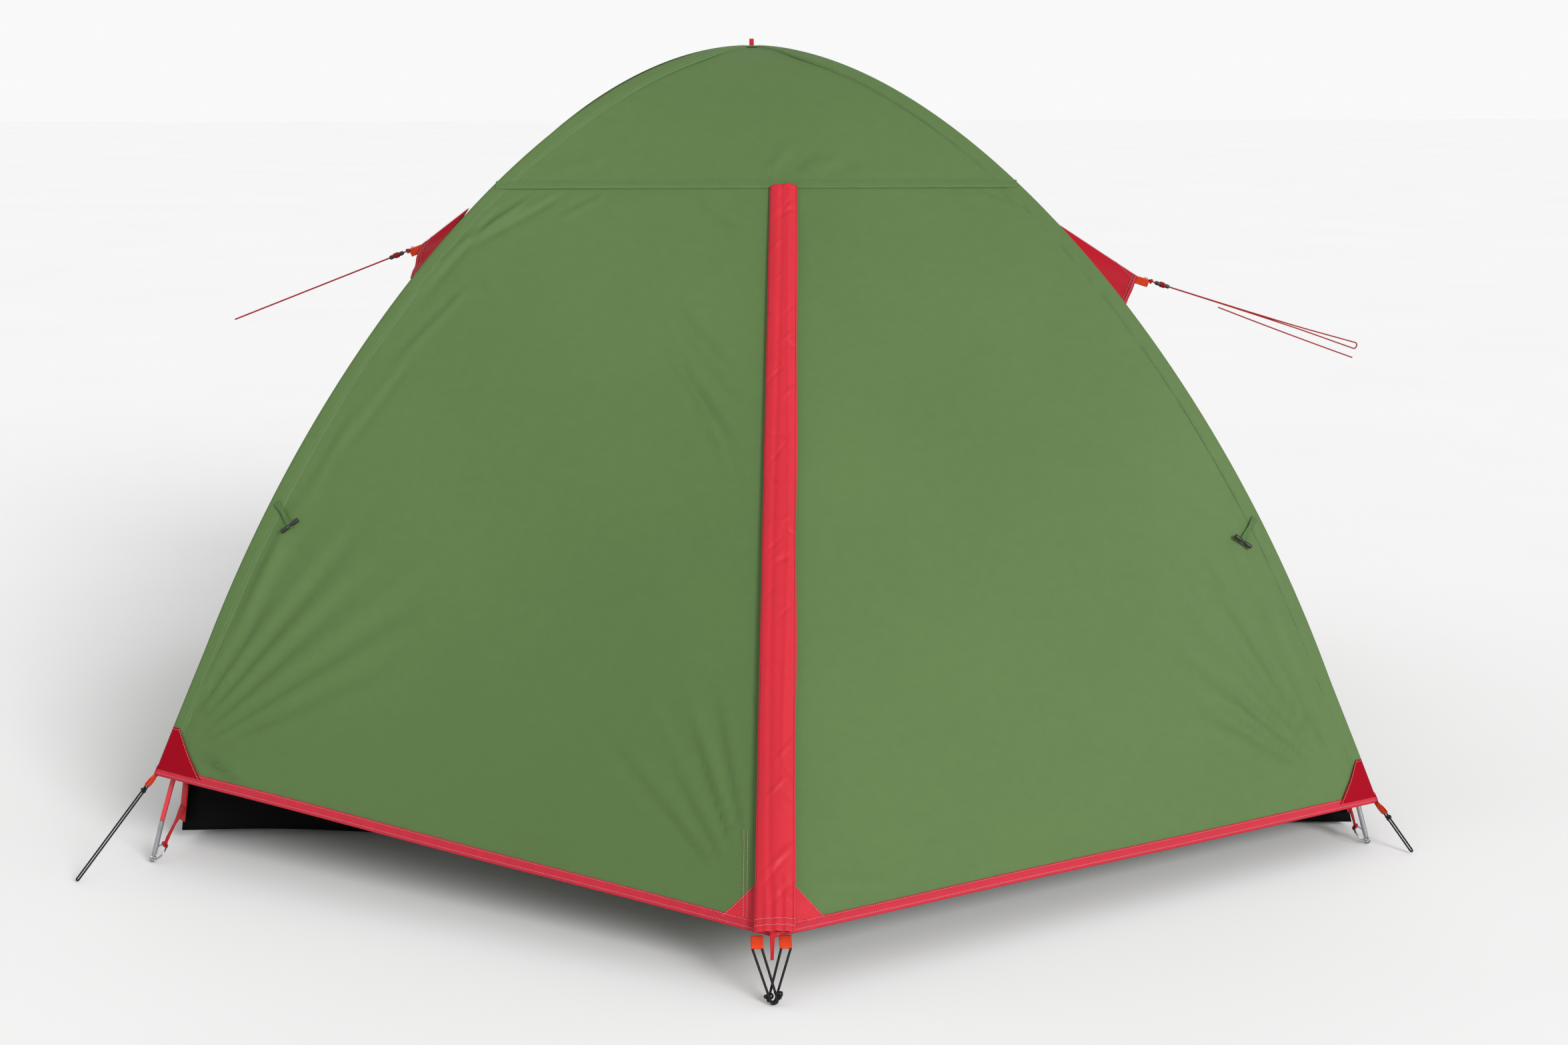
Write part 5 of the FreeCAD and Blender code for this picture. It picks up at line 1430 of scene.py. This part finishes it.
# ---------------------------------------------------------------- crown patch and its loop
crown_z = ridge(CROWN, -1, -1, FLY).z
CROWN_X, CROWN_Y = 0.028, 0.021
crown_rows = []
for i in range(15):
    row = []
    for j in range(19):
        x, y = CROWN_X * (j / 9 - 1), CROWN_Y * (i / 7 - 1)
        far_x, far_y = abs(x) / CROWN_X, abs(y) / CROWN_Y
        corner_cut = 1 - 0.10 * far_x ** 4 * far_y ** 4
        fall = 0.0014 * far_x ** 3 + 0.0016 * far_y ** 3
        row.append(Vector((x * corner_cut, y * corner_cut, crown_z + 0.0020 - fall)))
    crown_rows.append(row)
grid("crown_patch", crown_rows, fly_cloth, body="tent", nodes=["apex_loop"], slot="fly_cloth", thick=0.0010)
loop_rows = []
for k in range(25):
    a = math.pi * (k / 24)
    swing = 0.0042 * math.cos(a)
    loop_rows.append([Vector((q * 0.0042, swing, crown_z + 0.0022 + 0.0115 * math.sin(a) ** 0.7))
                      for q in (-1, -0.6, -0.2, 0.2, 0.6, 1)])
grid("crown_loop", loop_rows, red_webbing, body="tent", slot="red_webbing", thick=0.0010)
crown_stitches = Gather()
for q in (-1, 1):
    line = [Vector((-0.024 + 0.048 * k / 12, q * 0.0175, crown_z + 0.0012)) for k in range(13)]
    stitch_row(crown_stitches, line, [Vector((0, 0, 1))] * 13)
    line = [Vector((q * 0.024, -0.0175 + 0.035 * k / 9, crown_z + 0.0010)) for k in range(10)]
    stitch_row(crown_stitches, line, [Vector((0, 0, 1))] * 10)
piece("crown_stitches", crown_stitches.points, crown_stitches.faces, thread_green, body="tent")

# ---------------------------------------------------------------- groundsheet tub
CORNER_PULL = {-1: (0.028, 0.022, 0.55), 1: (0.056, 0.008, 0.30)}   # outwards, upwards, along the wall


def tub_pull(a, b, level):
    """How far the straps pull the tub at a place of its rim, a and b from -1 to 1."""
    end = 1 if b >= 0 else -1
    side = 1 if a >= 0 else -1
    out, up, reach = CORNER_PULL[-side * end]
    distance = math.hypot((1 - abs(a)) * FLOOR_X, (1 - abs(b)) * FLOOR_Y)
    near = max(0.0, 1 - distance / 0.22) ** 2
    rise = smooth(1 - distance / reach, 0.0, 0.9) * (1.0 if abs(b) == 1.0 else max(0.0, 1 - distance / 0.2))
    low = smooth(level, 0.86, 1.0)
    high = max(level - 1.0, 0.0)
    outwards = Vector((side * out, end * out * 0.25, 0)) * (near * low * (1 - 0.55 * high))
    return outwards + Vector((0, 0, up * rise * low * (1 - high)))


def tub_rows():
    """From the middle of the floor outwards and up the walls, right round."""
    count_x, count_y = 66, 44
    around = ([(-1 + 2 * i / count_x, -1.0) for i in range(count_x)]
              + [(1.0, -1 + 2 * i / count_y) for i in range(count_y)]
              + [(1 - 2 * i / count_x, 1.0) for i in range(count_x)]
              + [(-1.0, 1 - 2 * i / count_y) for i in range(count_y)])
    rows = []
    for level in ([0.0, 0.25, 0.5, 0.7, 0.85, 0.94, 0.975, 1.0] + [1.0 + 0.1 * k for k in range(1, 11)]):
        row = []
        for a, b in around:
            if level <= 1.0:
                p = Vector((a * FLOOR_X * level, b * FLOOR_Y * level, 0.0012))
                p.z += (0.0016 * max(0, math.sin(9 * p.x + 1.7) * math.sin(11 * p.y))
                        * smooth(1 - level, 0.0, 0.1))
            else:
                h = level - 1.0
                soft = (0.006 * math.sin(math.pi * h)
                        + 0.004 * math.sin(14 * a + 9 * b) * math.sin(math.pi * h))
                soft *= min(1.0, math.hypot((1 - abs(a)) * FLOOR_X, (1 - abs(b)) * FLOOR_Y) / 0.15)
                p = Vector((a * FLOOR_X, b * FLOOR_Y, 0.0012 + (TUB_HEIGHT - 0.002) * h))
                if abs(b) == 1.0:
                    p.y -= b * soft
                if abs(a) == 1.0:
                    p.x -= a * soft
            row.append(p + tub_pull(a, b, level))
        row.append(row[0].copy())
        rows.append(row)
    return rows


TUB_ROWS = tub_rows()
tub = grid("tub_cloth", TUB_ROWS, floor_cloth, body="tent", nodes=["groundsheet"], slot="floor",
           thick=-0.0012)
tub_tape = Gather()
tape_line = TUB_ROWS[-1]
tape_frames = []
for p in tape_line:
    outward = Vector(((p.x / FLOOR_X) ** 9, (p.y / FLOOR_Y) ** 9, 0)).normalized()
    tape_frames.append((outward, Vector((0, 0, 1))))
tub_tape.add(*sweep(tape_line, tape_frames,
                    [(0.0014, -0.008), (0.0018, 0.0), (0.0, 0.002), (-0.0018, 0.0), (-0.0014, -0.008)]))
piece("tub_edge_tape", tub_tape.points, tub_tape.faces, floor_cloth, body="tent", slot="floor")

# ---------------------------------------------------------------- ring straps at the pole feet
WIRE_D, EYE_R, RING_R, TIP_LENGTH = 0.003, 0.005, 0.015, 0.075
STRAP_HALF, STRAP_SPREAD, STRAP_TURN = 0.0045, 0.0065, 0.0036
for side, end in ((-1, -1), (1, -1), (1, 1), (-1, 1)):
    foot = ridge(0.0, side, end)
    up = (ridge(TIP_LENGTH / HALF_LENGTH, side, end) - foot).normalized()
    eye = foot + up * (WIRE_D / 2 + EYE_R + 0.0005)
    sideways = up.cross(Vector((0, 0, 1))).normalized()
    inward = Vector((-side * FOOT_X, -end * FOOT_Y, 0)).normalized()
    reach = (inward + Vector((0, 0, 0.9))).normalized()
    centre = eye + reach * RING_R
    axis = sideways.cross(reach).normalized()
    far = centre + reach * RING_R
    sideways = axis.cross(reach).normalized()
    tub_corner = Vector((side * (FLOOR_X + 0.0015), end * (FLOOR_Y + 0.0015), 0))
    low, corner, high = [tub_corner + Vector((0, 0, TUB_HEIGHT * h)) + tub_pull(side, end, 1 + h)
                         for h in (0.18, 0.42, 0.80)]
    run = (corner - far).normalized()
    flat_out = run.cross(sideways).normalized()
    rows = []
    for k in range(15):
        a = 2 * math.pi * (k / 14) * 0.86 + math.pi * 0.14
        turn = far - run * (STRAP_TURN * math.cos(a)) + flat_out * (STRAP_TURN * math.sin(a))
        rows.append([turn + sideways * (STRAP_HALF * q) for q in (-1, -0.5, 0, 0.5, 1)])
    for k in range(1, 9):
        f = k / 8
        half = STRAP_HALF + STRAP_SPREAD * smooth(f, 0.45, 1.0)
        at = between(far + run * STRAP_TURN, corner, f)
        rows.append([at + sideways * (half * q) + flat_out * (0.0006 * math.sin(f * 6 + q))
                     for q in (-1, -0.5, 0, 0.5, 1)])
    diagonal = Vector((side, end, 0)).normalized()
    patch = [[between(low, high, k / 10) + sideways * (0.011 * q) + diagonal * (0.001 - 0.001 * abs(q))
              for q in (-1, -0.6, -0.2, 0.2, 0.6, 1)] for k in range(11)]
    tag = "%s_%s" % ("front" if end < 0 else "rear", WORD[side])
    grid("ring_strap_" + tag, rows, red_webbing, body="tent",
         nodes=["corner_straps"] if (side, end) == (-1, -1) else [], slot="red_webbing", thick=0.0016)
    grid("strap_patch_" + tag, patch, red_webbing, body="tent", slot="red_webbing", thick=0.0014)

# ---------------------------------------------------------------- inner tent
INNER_LOW = share_at_height(TUB_HEIGHT + 0.003, -INNER)
INNER_TOP = 0.97
DOOR_SILL, DOOR_HEAD = 0.190, 0.960
DOOR_HALF_FOOT, DOOR_HALF_HEAD, DOOR_GAP = 0.400, 0.180, 0.004


def inner_point(u, side, end, deeper=0.0):
    s, z = arch(u, -INNER - deeper)
    low = arch(INNER_LOW, -INNER - deeper)[0] * FOOT_X / HALF_SPAN
    x = s * FOOT_X / HALF_SPAN * (FLOOR_X - deeper) / low
    y = x * (FLOOR_Y - deeper) / (FLOOR_X - deeper)
    return Vector((side * x, end * y, z))


def sagged(rows, depth, seed, edge=0.04):
    """Rows of cloth that hang in a little between their seams, with soft waves."""
    array = np.array([[list(p) for p in row] for row in rows])
    normal = grid_normals(array)
    r = np.linspace(0, 1, array.shape[0])[:, None]
    c = np.linspace(0, 1, array.shape[1])[None, :]
    quiet = eased(np.minimum(np.minimum(c, 1 - c), np.minimum(r, 1 - r)), 0.0, edge)
    x = array[:, :, 0] + array[:, :, 1]
    z = array[:, :, 2]
    wave = 0.002 * np.sin(9 * x + seed) * np.sin(8 * z + seed * 2) + 0.001 * np.sin(31 * x + 12 * z)
    towards = np.sign(((np.array((0, 0, 0.5)) - array) * normal).sum(axis=2))
    height = (depth * np.sin(np.pi * c) * np.sin(np.pi * r) + quiet * wave) * towards
    return as_rows(array + normal * height[:, :, None])


low_share = share_at_height(DOOR_SILL, -INNER)
high_share = share_at_height(DOOR_HEAD, -INNER)


def wall_half(u):
    return inner_point(u, 1, -1).x


def door_half(u):
    share = (u - low_share) / (high_share - low_share)
    return DOOR_HALF_FOOT + (DOOR_HALF_HEAD - DOOR_HALF_FOOT) * max(share, 0.0) ** 1.6


def inner_span(shares, left_of, right_of, count):
    rows = []
    for u in shares:
        a, b = inner_point(u, -1, -1), inner_point(u, 1, -1)
        half_x = b.x
        rows.append([between(a, b, 0.5 + x / half_x / 2) for x in even(left_of(u), right_of(u), count)])
    return rows


mid_shares = even(low_share, high_share, 40)
inner_parts = [
    (inner_span(even(INNER_LOW, low_share, 4), lambda u: -wall_half(u), wall_half, 60), "sill", 0.110),
    (inner_span(even(high_share, INNER_TOP, 24), lambda u: -wall_half(u), wall_half, 40), "head", 0.325),
    (inner_span(mid_shares, lambda u: -wall_half(u), lambda u: -door_half(u), 26), "jamb_a", 0.400),
    (inner_span(mid_shares, door_half, wall_half, 26), "jamb_b", 0.400)]
for rows, place, area in inner_parts:
    shaped = sagged(rows, 0.004 if place != "sill" else 0.0, 2.0)
    for rear, tag in ENDS:
        wall = part("inner_%s_%s" % (place, tag), shaped, rear, inner_cloth,
                    nodes=["inner_" + tag] if place == "sill" else [], slot="inner_cloth")
left_rows = [[between(inner_point(u, -1, -1), inner_point(u, -1, 1), k / 40) for k in range(41)]
             for u in even(INNER_LOW, INNER_TOP, 60)]
left_rows = [row[::-1] for row in sagged(left_rows, 0.006, 1.0)]
for rear, word in HALVES:
    wall = part("inner_wall_" + word, left_rows, rear, inner_cloth, nodes=["inner_side_" + word],
                slot="inner_cloth")
top_corner = inner_point(INNER_TOP, 1, 1)
crown_cloth = [[Vector((top_corner.x * (-1 + j / 6), top_corner.y * (-1 + i / 5), top_corner.z + 0.0012))
                for j in range(13)] for i in range(11)]
inner_top = grid("inner_crown_cloth", crown_cloth, inner_cloth, body="tent", nodes=["inner_crown"],
                 slot="inner_cloth", thick=0.0008)
gap_share = DOOR_GAP / HALF_LENGTH
door_shares = even(low_share + gap_share, high_share - gap_share, 44)
door_span = inner_span(door_shares, lambda u: DOOR_GAP - door_half(u), lambda u: door_half(u) - DOOR_GAP, 40)
door_rows = sagged(door_span, 0.003, 4.0)
door_trim = Gather()
ring = [door_rows[0][j] for j in range(41)] + [door_rows[i][40] for i in range(1, 45)]
ring += [door_rows[44][j] for j in range(39, -1, -1)] + [door_rows[i][0] for i in range(43, 0, -1)]
ring.append(ring[0].copy())
door_out = (door_rows[0][40] - door_rows[0][0]).cross(door_rows[44][20] - door_rows[0][20]).normalized()
middle = door_rows[20][20]
trim_frames = []
for k, p in enumerate(ring):
    ahead = (ring[(k + 1) % (len(ring) - 1)] - ring[k - 1 if k else len(ring) - 2]).normalized()
    trim_frames.append((facing(door_out.cross(ahead).normalized(), middle - p), door_out))
door_trim.add(*sweep(ring, trim_frames, [(0.0, -0.0010), (0.0, 0.0012), (0.010, 0.0014), (0.011, -0.0010)]))
for rear, tag in ENDS:
    body = "inner_leaf_" + tag
    cloth_part = part("inner_door_cloth_" + tag, door_rows[:16], rear, inner_cloth, body=body,
                      nodes=["inner_door_" + tag], slot="inner_cloth")
    net_part = part("inner_door_net_" + tag, door_rows[15:], rear, net, body=body, slot="mesh")
    part("inner_door_trim_" + tag, door_trim, rear, zip_tape, body=body, slot="zip_coil")

# ---------------------------------------------------------------- nodes kept from the frame
KEPT = {"pole_a_sections": rod_red, "pole_b_sections": rod_red,
        "pole_a_ferrules": steel, "pole_b_ferrules": steel,
        "pole_tips": steel, "ring_pins": steel, "pole_clips": black_plastic}
for name, material in KEPT.items():
    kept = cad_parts[name]
    kept.data.materials.clear()
    kept.data.materials.append(material)

# ---------------------------------------------------------------- studio
FLOOR_HALF, FLOOR_Z = 30.0, -0.0005
floor_material, floor_tree, floor_shader = new_material("studio_floor", 0.9, specular=0.1)
floor_place = node(floor_tree, "ShaderNodeTexCoord", -1150, 0)
floor_tree.links.new(colour_noise(floor_tree, floor_place.outputs["Object"], (0.90, 0.90, 0.90), 1.2, 0.01),
                     floor_shader.inputs["Base Color"])
floor_mesh = bpy.data.meshes.new("floor")
floor_corners = [(x * FLOOR_HALF, y * FLOOR_HALF, FLOOR_Z) for x, y in ((-1, -1), (1, -1), (1, 1), (-1, 1))]
floor_mesh.from_pydata(floor_corners, [], [(0, 1, 2, 3)])
floor_obj = bpy.data.objects.new("floor", floor_mesh)
scene.collection.objects.link(floor_obj)
floor_mesh.materials.append(floor_material)

HORIZON, ZENITH = 0.95, 0.58
world = bpy.data.worlds.new("studio")
scene.world = world
world.use_nodes = True
tree = world.node_tree
background = tree.nodes["Background"]
background.inputs["Color"].default_value = (1.0, 1.0, 1.0, 1.0)
direction = node(tree, "ShaderNodeTexCoord", -900, 0)
split = node(tree, "ShaderNodeSeparateXYZ", -700, 0)
tree.links.new(direction.outputs["Generated"], split.inputs["Vector"])
fall = node(tree, "ShaderNodeMapRange", -450, 0)
fall.inputs["To Min"].default_value = HORIZON
fall.inputs["To Max"].default_value = ZENITH
tree.links.new(split.outputs["Z"], fall.inputs["Value"])
tree.links.new(fall.outputs["Result"], background.inputs["Strength"])

sun = bpy.data.lights.new("key", "SUN")
sun.energy = 2.4
sun.angle = math.radians(22.0)
sun_object = bpy.data.objects.new("key", sun)
sun_object.rotation_mode = "QUATERNION"
sun_object.rotation_quaternion = Vector((-0.48, 0.80, -0.44)).to_track_quat("-Z", "Y")
scene.collection.objects.link(sun_object)
